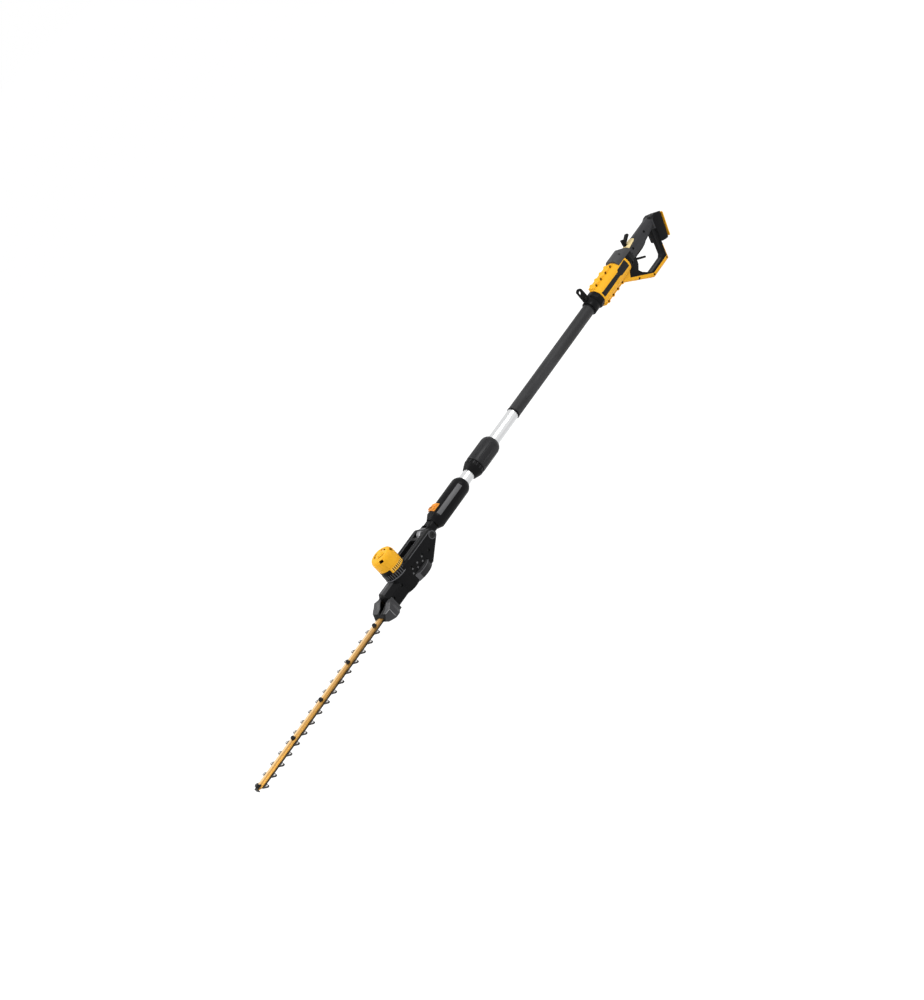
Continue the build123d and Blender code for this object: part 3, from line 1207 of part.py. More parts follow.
def battery_rails():
    """T-shaped rails that a slide-on pack hooks over."""
    _, length = foot_frame()
    low, high = -length / 2 + 4.0, length / 2 - 6.0
    neck = block(0, RAIL_NECK, -FOOT_W / 2 + 6.0, FOOT_W / 2 - 6.0, low, high)
    flange = block(RAIL_NECK, RAIL_NECK + RAIL_THICK, -FOOT_W / 2, FOOT_W / 2, low, high)
    reach, half = RAIL_NECK + RAIL_THICK, FOOT_W / 4 + RUN
    window = block(-1.0, reach + 1.0, -half, half, -FAR / 4, 14.0 + RUN)
    stop = block(0, reach, -FOOT_W / 2 + 2.0, FOOT_W / 2 - 2.0, high, high + 3.0)
    return on_foot(neck + flange - window + stop)


def terminal_block():
    body = block(-13.0, RAIL_NECK, -FOOT_W / 4, FOOT_W / 4, -14.0, 14.0)
    for y in terminal_places():
        body -= block(-6.0, RAIL_NECK + 1.0, y - 0.5 - RUN, y + 0.5 + RUN, -9.0 - RUN, 9.0 + RUN)
    return on_foot(body)


def terminal_places():
    pitch = FOOT_W / 2 / (TERMINAL_COUNT + 1)
    return [pitch * (index - (TERMINAL_COUNT - 1) / 2) for index in range(TERMINAL_COUNT)]


def terminal_blades():
    return [on_foot(block(-6.0, RAIL_NECK + 6.0, y - 0.5, y + 0.5, -9.0, 9.0)) for y in terminal_places()]


# ------------------------------------------------------------------ switch, trigger and lock-off
def controller():
    return controller_box()


def switch_box():
    return switch_space()


def trigger_arm(half):
    x, z = TRIGGER_PIVOT
    return prism_y([
        (x - 2.0, z - 5.0), (x + 6.0, z + 4.0), (x + 22.0, z + 2.0), (x + 22.0, z - 2.0), (x + 10.0, z - 6.0),
        (x + 24.0, z - 16.0), (x + 49.0, z - 31.0), (x + 50.5, z - 35.0), (x + 46.0, z - 37.0),
        (x + 20.0, z - 22.0), (x + 3.0, z - 11.0),
    ], half)


def trigger():
    x, z = TRIGGER_PIVOT
    half = TRIGGER_W / 2
    body = trigger_arm(half) + rod_y(6.0, -half, half, x, z)
    return body - rod_y(TRIGGER_PIN_D / 2 + RUN, -FAR, FAR, x, z)


def swept(solid_at, pivot, swing, steps=4):
    """Everything a lever passes through while it turns about a pin along Y."""
    x, z = pivot
    room = solid_at
    for step in range(1, steps + 1):
        room += Pos(x, 0, z) * Rot(0, swing * step / steps, 0) * Pos(-x, 0, -z) * solid_at
    return room


def trigger_room():
    x, z = TRIGGER_PIVOT
    half = TRIGGER_W / 2 + FREE
    arm = trigger_arm(half) + rod_y(6.0 + FREE, -half, half, x, z)
    slot = block(x - 7.0, x + 27.0, -half, half, z - 16.0, z + 12.0)
    return swept(arm, TRIGGER_PIVOT, -TRIGGER_SWING) + slot


def trigger_pin():
    x, z = TRIGGER_PIVOT
    return rod_y(TRIGGER_PIN_D / 2, -TRIGGER_PIN_LENGTH / 2, TRIGGER_PIN_LENGTH / 2, x, z)


def pin_bosses():
    """Bosses in the grip shells that carry the trigger's and the lock-off's pins."""
    bosses = []
    outer = barrel() + grip_bar()
    levers = ((TRIGGER_PIVOT, TRIGGER_W, TRIGGER_PIN_D), (LOCK_PIVOT, LOCK_W - 5.0, LOCK_PIN_D))
    for (x, z), width, pin in levers:
        ring = rod_y(pin / 2 + 2.4, -GRIP_W / 2, GRIP_W / 2, x, z) & outer
        ring -= rod_y(pin / 2 + 4.0, -width / 2 - FREE, width / 2 + FREE, x, z)
        bosses.append(ring)
    return bosses


def lock_arm(half):
    x, z = LOCK_PIVOT
    return prism_y([(x - 4.0, z), (x + 4.0, z), (x + 9.0, z + 12.0), (x + 9.0, z + 18.0), (x, z + 18.0),
                    (x - 1.0, z + 12.0)], half)


def lock_off_lever():
    """Lever that leans back over the grip, with a thumb horn on its front."""
    x, z = LOCK_PIVOT
    half = LOCK_W / 2
    arm = lock_arm(half - 2.5) + rod_y(4.6, -half + 2.5, half - 2.5, x, z)
    paddle = prism_y([
        (x, z + 14.5), (x + 10.0, z + 14.5), (x + 37.0, z + 25.0), (x + 35.0, z + 31.5), (x + 31.0, z + 32.0),
        (x + 13.0, z + 24.0), (x + 8.0, z + 31.0), (x + 4.0, z + 31.5), (x + 3.0, z + 27.0),
    ], half)
    return arm + ease_sides(paddle, 1.0) - rod_y(LOCK_PIN_D / 2 + RUN, -FAR, FAR, x, z)


def lock_room():
    x, z = LOCK_PIVOT
    half = LOCK_W / 2 - 2.5 + FREE
    return swept(lock_arm(half) + rod_y(4.6 + FREE, -half, half, x, z), LOCK_PIVOT, LOCK_SWING)


def lock_off_pin():
    x, z = LOCK_PIVOT
    return rod_y(LOCK_PIN_D / 2, -LOCK_PIN_LENGTH / 2, LOCK_PIN_LENGTH / 2, x, z)


def lock_off_plate():
    """Pale surround on the grip under the lock-off lever."""
    x = BODY_X + GRIP_START
    skin = grip_surround(1.6) - grip_surround(0.0)
    zone = prism_y([(x + 1.0, GRIP_TOP - 6.0), (x + 36.0, GRIP_TOP - 3.5), (x + 46.0, GRIP_TOP - 1.0),
                    (x + 46.0, FAR / 4), (x + 1.0, FAR / 4)], FAR / 4)
    return skin & zone - swept(lock_arm(LOCK_W / 2), LOCK_PIVOT, LOCK_SWING)


def grip_surround(grow):
    return extrude(grip_section(GRIP_START + 4.5, GRIP_BOTTOM, -grow), amount=40.0, dir=(1, 0, 0))


def torsion_coil(x, z, radius, y0, y1, turns):
    """A coil spring wound round a pin along Y."""
    path = Helix(pitch=(y1 - y0 - SPRING_WIRE) / turns, height=y1 - y0 - SPRING_WIRE, radius=radius)
    section = Plane(origin=path @ 0, z_dir=path % 0) * Circle(SPRING_WIRE / 2)
    coil = sweep(section, path=path, is_frenet=True)
    return Pos(x, y0 + SPRING_WIRE / 2, z) * Rot(-90, 0, 0) * coil


def lever_springs():
    tx, tz = TRIGGER_PIVOT
    lx, lz = LOCK_PIVOT
    start = TRIGGER_W / 2 + 2 * FREE
    trigger_coil = torsion_coil(tx, tz, TRIGGER_PIN_D / 2 + SPRING_WIRE, start, start + 4.6, 3)
    lock_coil = torsion_coil(lx, lz, LOCK_PIN_D / 2 + SPRING_WIRE, start, start + 4.6, 3)
    return [trigger_coil, lock_coil]


def spring_room():
    """Pockets in the bosses for the two lever springs."""
    tx, tz = TRIGGER_PIVOT
    lx, lz = LOCK_PIVOT
    start = TRIGGER_W / 2 + FREE
    reach = start + 5.6
    return rod_y(TRIGGER_PIN_D / 2 + 2 * SPRING_WIRE, start, reach, tx, tz) + \
        rod_y(LOCK_PIN_D / 2 + 2 * SPRING_WIRE, start, reach, lx, lz)


# ------------------------------------------------------------------ the pieces and their files
def handle_shells():
    shell = handle_whole()
    for boss in pin_bosses():
        shell += boss
    shell -= spring_room()
    pins = ((TRIGGER_PIVOT, TRIGGER_PIN_D, TRIGGER_PIN_LENGTH), (LOCK_PIVOT, LOCK_PIN_D, LOCK_PIN_LENGTH))
    for (x, z), pin, length in pins:
        shell -= rod_y(pin / 2 + RUN, -length / 2, length / 2, x, z)
    zone = prism_y(yellow_zone(), FAR / 4)
    return shell & zone, shell - zone


def all_pieces():
    yellow, black = handle_shells()
    housing = lower_housing()
    head = head_shells()
    return {
        "body_shell_left": left_side(yellow), "body_shell_right": right_side(yellow),
        "grip_shell_left": left_side(black), "grip_shell_right": right_side(black),
        "top_cover": top_cover(), "side_inlays": side_inlays(), "nose_collar": nose_collar(),
        "strap_clamp": strap_clamp(), "clamp_screw": clamp_screw(),
        "upper_tube": upper_tube(), "foam_sleeve": foam_sleeve(),
        "controller": controller(), "switch_box": switch_box(),
        "battery_rails": battery_rails(), "terminal_block": terminal_block(),
        "terminal_blades": terminal_blades(),
        "trigger": trigger(), "trigger_pin": trigger_pin(), "lock_off_lever": lock_off_lever(),
        "lock_off_pin": lock_off_pin(), "lock_off_plate": lock_off_plate(), "lever_springs": lever_springs(),
        "body_screws": body_screws(), "grip_screws": grip_screws(), "power_lead": power_lead(),
        "coupling_socket": coupling_socket(), "coupling_nut": coupling_nut(),
        "coupling_ring": coupling_ring(),
        "coupling_contacts": coupling_contacts(), "lower_tube": lower_tube(),
        "lower_housing_left": left_side(housing), "lower_housing_right": right_side(housing),
        "housing_inlays": housing_inlays(), "pivot_knuckle": pivot_knuckle(),
        "release_slider": release_slider(), "lock_plunger": plunger(), "plunger_spring": plunger_spring(),
        "head_shell_left": left_side(head), "head_shell_right": right_side(head),
        "detent_sector": detent_sector(), "pivot_bolt": pivot_bolt(), "pivot_nut": pivot_nut(),
        "head_screws": head_screws(), "motor_can": motor_can(), "motor_cap": motor_cap(), "stator": stator(),
        "rotor": rotor(), "fan": fan(), "pinion": pinion(), "bearings": bearings(),
        "crank_gear": crank_gear(), "crank_shaft": crank_shaft(), "gear_case": gear_case(),
        "gear_cover": gear_cover(), "upper_blade": upper_blade(), "lower_blade": lower_blade(),
        "blade_bar": blade_bar(), "blade_bolts": blade_bolts(), "tip_cap": tip_cap(),
        "blade_guard": blade_guard(),
    }


def grouped(shape):
    """One shape for a file, from one solid or a list of them."""
    items = shape if isinstance(shape, list) else [shape]
    solids = [solid for item in items for solid in item.solids()]
    return solids[0] if len(solids) == 1 else Compound(solids)


def bottom_centre(shapes):
    box = Compound([solid for shape in shapes for solid in shape.solids()]).bounding_box()
    return Vector((box.min.X + box.max.X) / 2, (box.min.Y + box.max.Y) / 2, box.min.Z)


PIECES = {name: grouped(shape) for name, shape in all_pieces().items()}
ORIGIN = bottom_centre(PIECES.values())
os.makedirs("parts", exist_ok=True)
for name, shape in PIECES.items():
    export_step(shape.moved(Pos(-ORIGIN.X, -ORIGIN.Y, -ORIGIN.Z)), f"parts/{name}.step")
print("origin", round(ORIGIN.X, 3), round(ORIGIN.Y, 3), round(ORIGIN.Z, 3), "pieces", len(PIECES))
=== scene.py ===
import json
from math import cos, pi, radians, sin

import bpy
from mathutils import Matrix, Vector

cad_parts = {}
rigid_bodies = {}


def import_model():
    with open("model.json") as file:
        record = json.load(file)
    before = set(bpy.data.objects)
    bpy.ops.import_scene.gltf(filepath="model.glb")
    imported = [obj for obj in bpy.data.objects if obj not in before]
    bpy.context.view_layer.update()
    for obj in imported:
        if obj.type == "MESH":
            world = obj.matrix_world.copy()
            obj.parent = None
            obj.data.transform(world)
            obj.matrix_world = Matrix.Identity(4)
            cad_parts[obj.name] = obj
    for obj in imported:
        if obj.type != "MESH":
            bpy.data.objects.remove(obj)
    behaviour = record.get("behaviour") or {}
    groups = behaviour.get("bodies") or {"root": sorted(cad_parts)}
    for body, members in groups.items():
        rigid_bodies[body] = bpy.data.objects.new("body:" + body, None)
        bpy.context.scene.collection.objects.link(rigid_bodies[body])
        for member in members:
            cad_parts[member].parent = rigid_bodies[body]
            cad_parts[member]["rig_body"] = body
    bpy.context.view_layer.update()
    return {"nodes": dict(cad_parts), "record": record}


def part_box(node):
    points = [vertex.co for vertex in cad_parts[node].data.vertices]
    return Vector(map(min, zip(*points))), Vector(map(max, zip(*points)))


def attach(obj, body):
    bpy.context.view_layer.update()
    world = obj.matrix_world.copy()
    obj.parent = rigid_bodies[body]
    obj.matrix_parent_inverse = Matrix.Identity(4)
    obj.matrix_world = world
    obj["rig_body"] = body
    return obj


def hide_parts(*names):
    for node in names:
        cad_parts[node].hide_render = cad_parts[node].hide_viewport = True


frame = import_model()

bl_info = {
    "name": "Pole hedge trimmer",
    "version": (1, 0, 0),
    "blender": (4, 5, 0),
    "location": "View3D > Sidebar > Trimmer",
    "description": "Dresses the packed pole hedge trimmer with its moulded, forged and anodised pieces",
    "category": "Object",
}

NODES = frame["nodes"]
MM = 0.001


# ------------------------------------------------------------------ places, read from the frame
def low(node):
    """Lower corner of a CAD node's box."""
    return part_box(node)[0]


def high(node):
    """Upper corner of a CAD node's box."""
    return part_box(node)[1]


def middle(node):
    """Middle of a CAD node's box."""
    return (low(node) + high(node)) / 2


def half_width(node):
    """Half of a CAD node's width, in millimetres."""
    return (high(node).y - low(node).y) / (2 * MM)


POLE_Z = middle("upper_tube").z
PIVOT = middle("pivot_bolt")
MOTOR = middle("motor_can")
BODY_FACE = high("nose_collar").x
POLE_START = (PIVOT.x, 0, POLE_Z)       # on the pole's axis, at the pivot
PIVOT_MIDDLE = (PIVOT.x, 0, PIVOT.z)
MOTOR_X = (MOTOR.x - PIVOT.x) / MM      # the motor's axis, in millimetres from the pivot
FLUSH_EDGE = 0.3 * MM                   # rounding of inlays that lie flush


def at_head(x, y, z):
    """A place in millimetres from the head's tilt pivot."""
    return Vector((PIVOT.x + x * MM, y * MM, PIVOT.z + z * MM))


def at_grip(x, y, z):
    """A place in millimetres from the body's front face, on the pole's axis."""
    return Vector((BODY_FACE + x * MM, y * MM, POLE_Z + z * MM))


# ------------------------------------------------------------------ selecting and finishing
def leave_edit():
    """Back to object mode."""
    if bpy.context.object and bpy.context.object.mode != "OBJECT":
        bpy.ops.object.mode_set(mode="OBJECT")


def fresh():
    """Object mode with nothing selected."""
    leave_edit()
    bpy.ops.object.select_all(action="DESELECT")


def focus(obj):
    """Selects one object alone and makes it active."""
    fresh()
    obj.select_set(True)
    bpy.context.view_layer.objects.active = obj
    return obj


def settle():
    """Moves the active object's place, turn and scale into its mesh."""
    bpy.ops.object.transform_apply(location=True, rotation=True, scale=True)
    return bpy.context.object


def new_piece(name):
    """The primitive just added, named and with its place moved into its mesh."""
    obj = bpy.context.object
    obj.name = name
    obj.data.name = name
    focus(obj)
    return settle()


def pick_faces(obj, test):
    """Edit mode on obj with the faces that pass the test selected."""
    focus(obj)
    bpy.ops.object.mode_set(mode="EDIT")
    bpy.ops.mesh.select_mode(type="FACE")
    bpy.ops.mesh.select_all(action="DESELECT")
    bpy.ops.object.mode_set(mode="OBJECT")
    for face in obj.data.polygons:
        face.select = bool(test(face.center, face.normal))
    bpy.ops.object.mode_set(mode="EDIT")


def finish_mesh(obj, smooth=35.0):
    """Merges doubles, turns the normals outward and smooths all but sharp edges."""
    focus(obj)
    bpy.ops.object.mode_set(mode="EDIT")
    bpy.ops.mesh.select_all(action="SELECT")
    bpy.ops.mesh.remove_doubles(threshold=0.00001)
    bpy.ops.mesh.normals_make_consistent(inside=False)
    bpy.ops.object.mode_set(mode="OBJECT")
    bpy.ops.object.shade_smooth_by_angle(angle=radians(smooth))
    return obj


def bevel(obj, width, steps=2, angle=30.0, material=-1):
    """Rounds the edges sharper than an angle."""
    focus(obj)
    rounding = obj.modifiers.new("Rounded edges", "BEVEL")
    rounding.width = width
    rounding.segments = steps
    rounding.limit_method = "ANGLE"
    rounding.angle_limit = radians(angle)
    rounding.material = material
    bpy.ops.object.modifier_apply(modifier=rounding.name)
    return obj


def carve(obj, cutter):
    """Cuts one piece out of another and takes it away."""
    focus(obj)
    cut = obj.modifiers.new("Carve", "BOOLEAN")
    cut.operation = "DIFFERENCE"
    cut.solver = "EXACT"
    cut.object = cutter
    bpy.ops.object.modifier_apply(modifier=cut.name)
    bpy.data.objects.remove(cutter)
    return obj


def join(pieces, name):
    """Makes one object of several."""
    fresh()
    for piece in pieces:
        piece.select_set(True)
    bpy.context.view_layer.objects.active = pieces[0]
    if len(pieces) > 1:
        bpy.ops.object.join()
    obj = bpy.context.object
    obj.name = name
    obj.data.name = name
    return obj


def paint(obj, *finishes):
    """Gives a piece its finishes, by their names in FINISHES."""
    obj.data.materials.clear()
    for finish in finishes:
        obj.data.materials.append(FINISHES[finish])
    return obj


def brick(name, place, size, ease=0.3):
    """A block with rounded edges, sizes in millimetres."""
    fresh()
    bpy.ops.mesh.primitive_cube_add(size=1, location=place)
    bpy.context.object.scale = [side * MM for side in size]
    obj = new_piece(name)
    bevel(obj, ease * MM, 2)
    return finish_mesh(obj)


def peg(name, place, radius, length, axis="Z", ease=0.4, sides=40):
    """A round peg with rounded rims, sizes in millimetres."""
    fresh()
    turn = {"X": (0, pi / 2, 0), "Y": (pi / 2, 0, 0), "Z": (0, 0, 0)}[axis]
    bpy.ops.mesh.primitive_cylinder_add(vertices=sides, radius=radius * MM, depth=length * MM,
                                        location=place, rotation=turn)
    obj = new_piece(name)
    bevel(obj, ease * MM, 2)
    return finish_mesh(obj)


def bead(name, start, end, radius):
    """A thin round bead between two places."""
    reach = end - start
    obj = peg(name, (0, 0, 0), radius, reach.length / MM, "Z", 0.2, 16)
    along = reach.to_track_quat("Z", "Y").to_matrix().to_4x4()
    obj.matrix_world = Matrix.Translation((start + end) / 2) @ along
    return settle()


def sink(obj, axis, depth, margin):
    """Sets in the end face of a peg and pushes it down, for a screw's drive recess or a cup."""
    lean = Vector(axis)
    reach = max(Vector(corner).dot(lean) for corner in obj.bound_box)
    pick_faces(obj, lambda centre, normal: normal.dot(lean) > 0.99 and centre.dot(lean) > reach - 0.0001)
    bpy.ops.mesh.inset(thickness=margin * MM, depth=0)
    bpy.ops.mesh.inset(thickness=0.0001, depth=-depth * MM)
    leave_edit()
    return obj


def turned(name, profile, place, axis="X", steps=64):
    """A turned piece: its profile (along, radius) in millimetres is spun about an axis."""
    fresh()
    bpy.ops.mesh.primitive_plane_add(size=0.001)
    obj = new_piece(name)
    bpy.ops.object.mode_set(mode="EDIT")
    bpy.ops.mesh.select_all(action="SELECT")
    bpy.ops.mesh.delete(type="VERT")
    leave_edit()
    mesh = obj.data
    mesh.vertices.add(len(profile))
    for vertex, (along, radius) in zip(mesh.vertices, profile):
        spot = {"X": (along, 0, radius), "Y": (0, along, radius), "Z": (radius, 0, along)}[axis]
        vertex.co = Vector(place) + Vector(spot) * MM
    mesh.edges.add(len(profile) - 1)
    for index, edge in enumerate(mesh.edges):
        edge.vertices = (index, index + 1)
    mesh.update()
    focus(obj)
    bpy.ops.object.mode_set(mode="EDIT")
    bpy.ops.mesh.select_all(action="SELECT")
    bpy.ops.mesh.spin(steps=steps, angle=2 * pi, center=place,
                      axis={"X": (1, 0, 0), "Y": (0, 1, 0), "Z": (0, 0, 1)}[axis])
    bpy.ops.object.mode_set(mode="OBJECT")
    return finish_mesh(obj)


def repeat(obj, offsets):
    """Copies of a piece at further offsets in millimetres, each with its own mesh, joined to it."""
    pieces = [obj]
    for offset in offsets:
        focus(obj)
        bpy.ops.object.duplicate()
        bpy.ops.transform.translate(value=[step * MM for step in offset])
        pieces.append(settle())
    return join(pieces, obj.name)


def ring_of(obj, centre, count, axis="Z"):
    """Copies of a piece turned about a centre, each with its own mesh, joined to it."""
    pieces = [obj]
    for index in range(1, count):
        focus(obj)
        bpy.ops.object.duplicate()
        bpy.ops.transform.rotate(value=2 * pi * index / count, orient_axis=axis, center_override=centre)
        pieces.append(settle())
    return join(pieces, obj.name)


def mirrored(obj):
    """The piece and its mirror image across the part's middle plane."""
    focus(obj)
    bpy.ops.object.duplicate()
    bpy.ops.transform.mirror(constraint_axis=(False, True, False), center_override=(0, 0, 0))
    return join([obj, finish_mesh(settle())], obj.name)


def add_on(obj, body, slot, finish):
    """A detail with one finish, carried by a body."""
    return seat(paint(obj, finish), body, slot)


def seat(obj, body, slot, *replaced):
    """Puts a piece on a body and hides the CAD nodes it stands in for. Its slot is not used."""
    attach(obj, body)
    if replaced:
        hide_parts(*replaced)
    return obj


def moulded_copy(node, width, steps=2, angle=30.0, trim=-1):
    """A copy of a CAD node with its triangles merged and its edges rounded."""
    source = NODES[node]
    obj = bpy.data.objects.new(node + "_skin", source.data.copy())
    bpy.context.scene.collection.objects.link(obj)
    focus(obj)
    bpy.ops.object.mode_set(mode="EDIT")
    bpy.ops.mesh.select_all(action="SELECT")
    bpy.ops.mesh.remove_doubles(threshold=0.00001)
    bpy.ops.mesh.dissolve_limited(angle_limit=radians(1.0))
    bpy.ops.object.mode_set(mode="OBJECT")
    bevel(obj, width, steps, angle, trim)
    focus(obj)
    bpy.ops.object.shade_smooth_by_angle(angle=radians(35))
    return obj


def dress(node, finish, width, steps=2, angle=30.0, wear_and_highlight=None):
    """Stands a rounded copy in a CAD node's place, with its finish and, if given, a second finish on its
    rounded edges for a painted highlight along them.
    """
    slot = next(p["material_slot"] for p in frame["record"]["subparts"] if p["node"] == node)
    body = NODES[node]["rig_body"]
    obj = moulded_copy(node, width, steps, angle, 1 if wear_and_highlight else -1)
    if wear_and_highlight:
        marks = [face.material_index for face in obj.data.polygons]
        paint(obj, finish, wear_and_highlight)
        for face, mark in zip(obj.data.polygons, marks):
            face.material_index = min(mark, 1)
    else:
        for face in obj.data.polygons:
            face.material_index = 0
        paint(obj, finish)
    return seat(obj, body, slot, node)


def score(obj, spots, lean, trim=False):
    """Divides a piece's faces along planes across a direction, or trims off what lies beyond them."""
    focus(obj)
    bpy.ops.object.mode_set(mode="EDIT")
    for spot in spots:
        bpy.ops.mesh.select_all(action="SELECT")
        bpy.ops.mesh.bisect(plane_co=spot, plane_no=lean, use_fill=trim, clear_outer=trim)
    leave_edit()
    return obj


def score_across(obj, *places):
    """Divides a piece's faces along upright planes at places across the part's width."""
    return score(obj, [(0, place, 0) for place in places], (0, 1, 0))


def two_tone(obj, second, test):
    """Gives the faces that pass the test a second finish."""
    obj.data.materials.append(FINISHES[second])
    last = len(obj.data.materials) - 1
    for face in obj.data.polygons:
        if test(face.center, face.normal):
            face.material_index = last
    return obj


# ------------------------------------------------------------------ finishes
class Finish:
    """Node tree of one material, on Object coordinates."""

    def __init__(self, name):
        """A new material with its shader and its Object coordinates at hand."""
        self.material = bpy.data.materials.new(name)
        self.material.use_nodes = True
        tree = self.material.node_tree
        self.nodes, self.links = tree.nodes, tree.links
        self.shader = self.nodes["Principled BSDF"]
        self.place = self.nodes.new("ShaderNodeTexCoord").outputs["Object"]

    def noise(self, scale, detail=4.0, stretch=None, rough=0.55):
        """Cloudy noise, drawn out along the axes with a small stretch."""
        place = self.place
        if stretch:
            turn = self.nodes.new("ShaderNodeMapping")
            turn.inputs["Scale"].default_value = stretch
            self.links.new(place, turn.inputs["Vector"])
            place = turn.outputs["Vector"]
        noise = self.nodes.new("ShaderNodeTexNoise")
        noise.inputs["Scale"].default_value = scale
        noise.inputs["Detail"].default_value = detail
        noise.inputs["Roughness"].default_value = rough
        self.links.new(place, noise.inputs["Vector"])
        return noise.outputs["Fac"]

    def cells(self, scale):
        """Small round pebbles or pores."""
        cells = self.nodes.new("ShaderNodeTexVoronoi")
        cells.inputs["Scale"].default_value = scale
        self.links.new(self.place, cells.inputs["Vector"])
        return cells.outputs["Distance"]

    def ramp(self, source, stops):
        """Turns a value into grey levels or colours between stops."""
        ramp = self.nodes.new("ShaderNodeValToRGB")
        self.links.new(source, ramp.inputs["Fac"])
        band = ramp.color_ramp
        while len(band.elements) < len(stops):
            band.elements.new(0.5)
        for element, (place, colour) in zip(band.elements, stops):
            element.position = place
            element.color = (*colour, 1.0) if hasattr(colour, "__len__") else (colour, colour, colour, 1.0)
        return ramp.outputs["Color"]

    def mix(self, amount, first, second, way="MIX"):
        """Mixes two colours or values by an amount."""
        mix = self.nodes.new("ShaderNodeMix")
        mix.data_type = "RGBA"
        mix.blend_type = way
        for name, value in (("Factor", amount), ("A", first), ("B", second)):
            socket = next(s for s in mix.inputs if s.name == name and s.enabled)
            if isinstance(value, bpy.types.NodeSocket):
                self.links.new(value, socket)
            elif hasattr(value, "__len__"):
                socket.default_value = (*value, 1.0)
            else:
                socket.default_value = value
        return next(s for s in mix.outputs if s.enabled)

    def colour(self, source):
        """The base colour, plain or from a node."""
        if isinstance(source, bpy.types.NodeSocket):
            self.links.new(source, self.shader.inputs["Base Color"])
        else:
            self.shader.inputs["Base Color"].default_value = (*source, 1.0)

    def roughness(self, source, least=None, most=None):
        """A plain roughness, or one that follows a value between two limits."""
        if least is None:
            self.shader.inputs["Roughness"].default_value = source
            return
        span = self.nodes.new("ShaderNodeMapRange")
        span.inputs["To Min"].default_value = least
        span.inputs["To Max"].default_value = most
        self.links.new(source, span.inputs["Value"])
        self.links.new(span.outputs["Result"], self.shader.inputs["Roughness"])

    def relief(self, layers):
        """Bump from several heights, each with its depth in metres and its strength."""
        below = None
        for height, depth, strength in layers:
            bump = self.nodes.new("ShaderNodeBump")
            bump.inputs["Distance"].default_value = depth
            bump.inputs["Strength"].default_value = strength
            self.links.new(height, bump.inputs["Height"])
            if below:
                self.links.new(below, bump.inputs["Normal"])
            below = bump.outputs["Normal"]
        self.links.new(below, self.shader.inputs["Normal"])

    def set(self, **values):
        """Sets plain inputs of the shader."""
        for name, value in values.items():
            self.shader.inputs[name.replace("_", " ")].default_value = value
        return self


def shade(colour, factor):
    """A colour made darker or lighter."""
    return tuple(min(1.0, c * factor) for c in colour)


def dusty(colour):
    """A colour under a little dust."""
    return tuple(min(1.0, c * 1.25 + 0.02) for c in colour)


def moulded_plastic(name, colour, rough=0.42, grain=1600.0, depth=0.00006, strength=0.35, gloss=0.3):
    """Spark-textured moulding: fine grain, cloudy sheen, scuffs and a little dust."""
    f = Finish(name)
    cloud = f.noise(9.0, 5.0)
    scuff = f.noise(70.0, 8.0, (0.35, 1.0, 1.0), 0.7)
    grained = f.noise(grain, 2.0)
    base = f.mix(cloud, shade(colour, 0.88), shade(colour, 1.1))
    wear_and_highlight = f.ramp(scuff, [(0.60, 0.0), (0.78, 1.0)])
    f.colour(f.mix(f.mix(1.0, wear_and_highlight, (0.10, 0.10, 0.10), "MULTIPLY"), base, dusty(colour)))
    f.roughness(scuff, rough - 0.08, rough + 0.14)
    f.relief([(grained, depth, strength), (cloud, 0.0003, 0.15)])
    return f.set(Specular_IOR_Level=gloss).material


def soft_rubber(name, colour):
    """Overmoulded grip: fine pebbles, matt and slightly greasy in patches."""
    f = Finish(name)
    pebbles = f.cells(900.0)
    cloud = f.noise(14.0, 4.0)
    f.colour(f.mix(cloud, shade(colour, 0.85), shade(colour, 1.25)))
    f.roughness(cloud, 0.52, 0.72)
    f.relief([(pebbles, 0.00016, 0.5), (cloud, 0.0003, 0.1)])
    return f.set(Specular_IOR_Level=0.16).material


def closed_foam(name, colour):
    """Foam sleeve: open pores, mottled tone and lighter streaks along the pole."""
    f = Finish(name)
    pores = f.cells(1100.0)
    mottle = f.noise(240.0, 6.0)
    streak = f.noise(40.0, 5.0, (0.15, 1.0, 1.0))
    tone = f.mix(mottle, shade(colour, 0.5), shade(colour, 1.6))
    pale_streaks = f.ramp(streak, [(0.42, 0.0), (0.6, 1.0)])
    f.colour(f.mix(f.mix(1.0, pale_streaks, (0.6, 0.6, 0.6), "MULTIPLY"), tone, shade(colour, 2.2)))
    f.roughness(mottle, 0.42, 0.62)
    f.relief([(pores, 0.0003, 0.6), (mottle, 0.0004, 0.4)])
    return f.set(Specular_IOR_Level=0.2).material


def drawn_metal(name, colour, rough=0.24, metallic=1.0, along=(0.02, 1.0, 1.0), scratch=0.2):
    """Drawn or ground metal: fine lines along the pole, faint scratches."""
    f = Finish(name)
    lines = f.noise(900.0, 3.0, along)
    cloud = f.noise(6.0, 4.0)
    marks = f.noise(160.0, 9.0, (0.3, 1.0, 0.6), 0.75)
    scratched = f.ramp(marks, [(0.66, 0.0), (0.74, 1.0)])
    tone = f.mix(cloud, shade(colour, 0.94), shade(colour, 1.04))
    f.colour(f.mix(f.mix(1.0, scratched, (scratch,) * 3, "MULTIPLY"), tone, shade(colour, 0.7)))
    f.roughness(lines, rough - 0.05, rough + 0.12)
    f.relief([(lines, 0.00003, 0.3)])
    return f.set(Metallic=metallic).material


# Lighter and darker lengthwise bands on the tubes: a painted reflection.
TUBE_REFLECTION_BANDS = [(0.38, 0.8), (0.5, 0.96), (0.62, 1.04)]


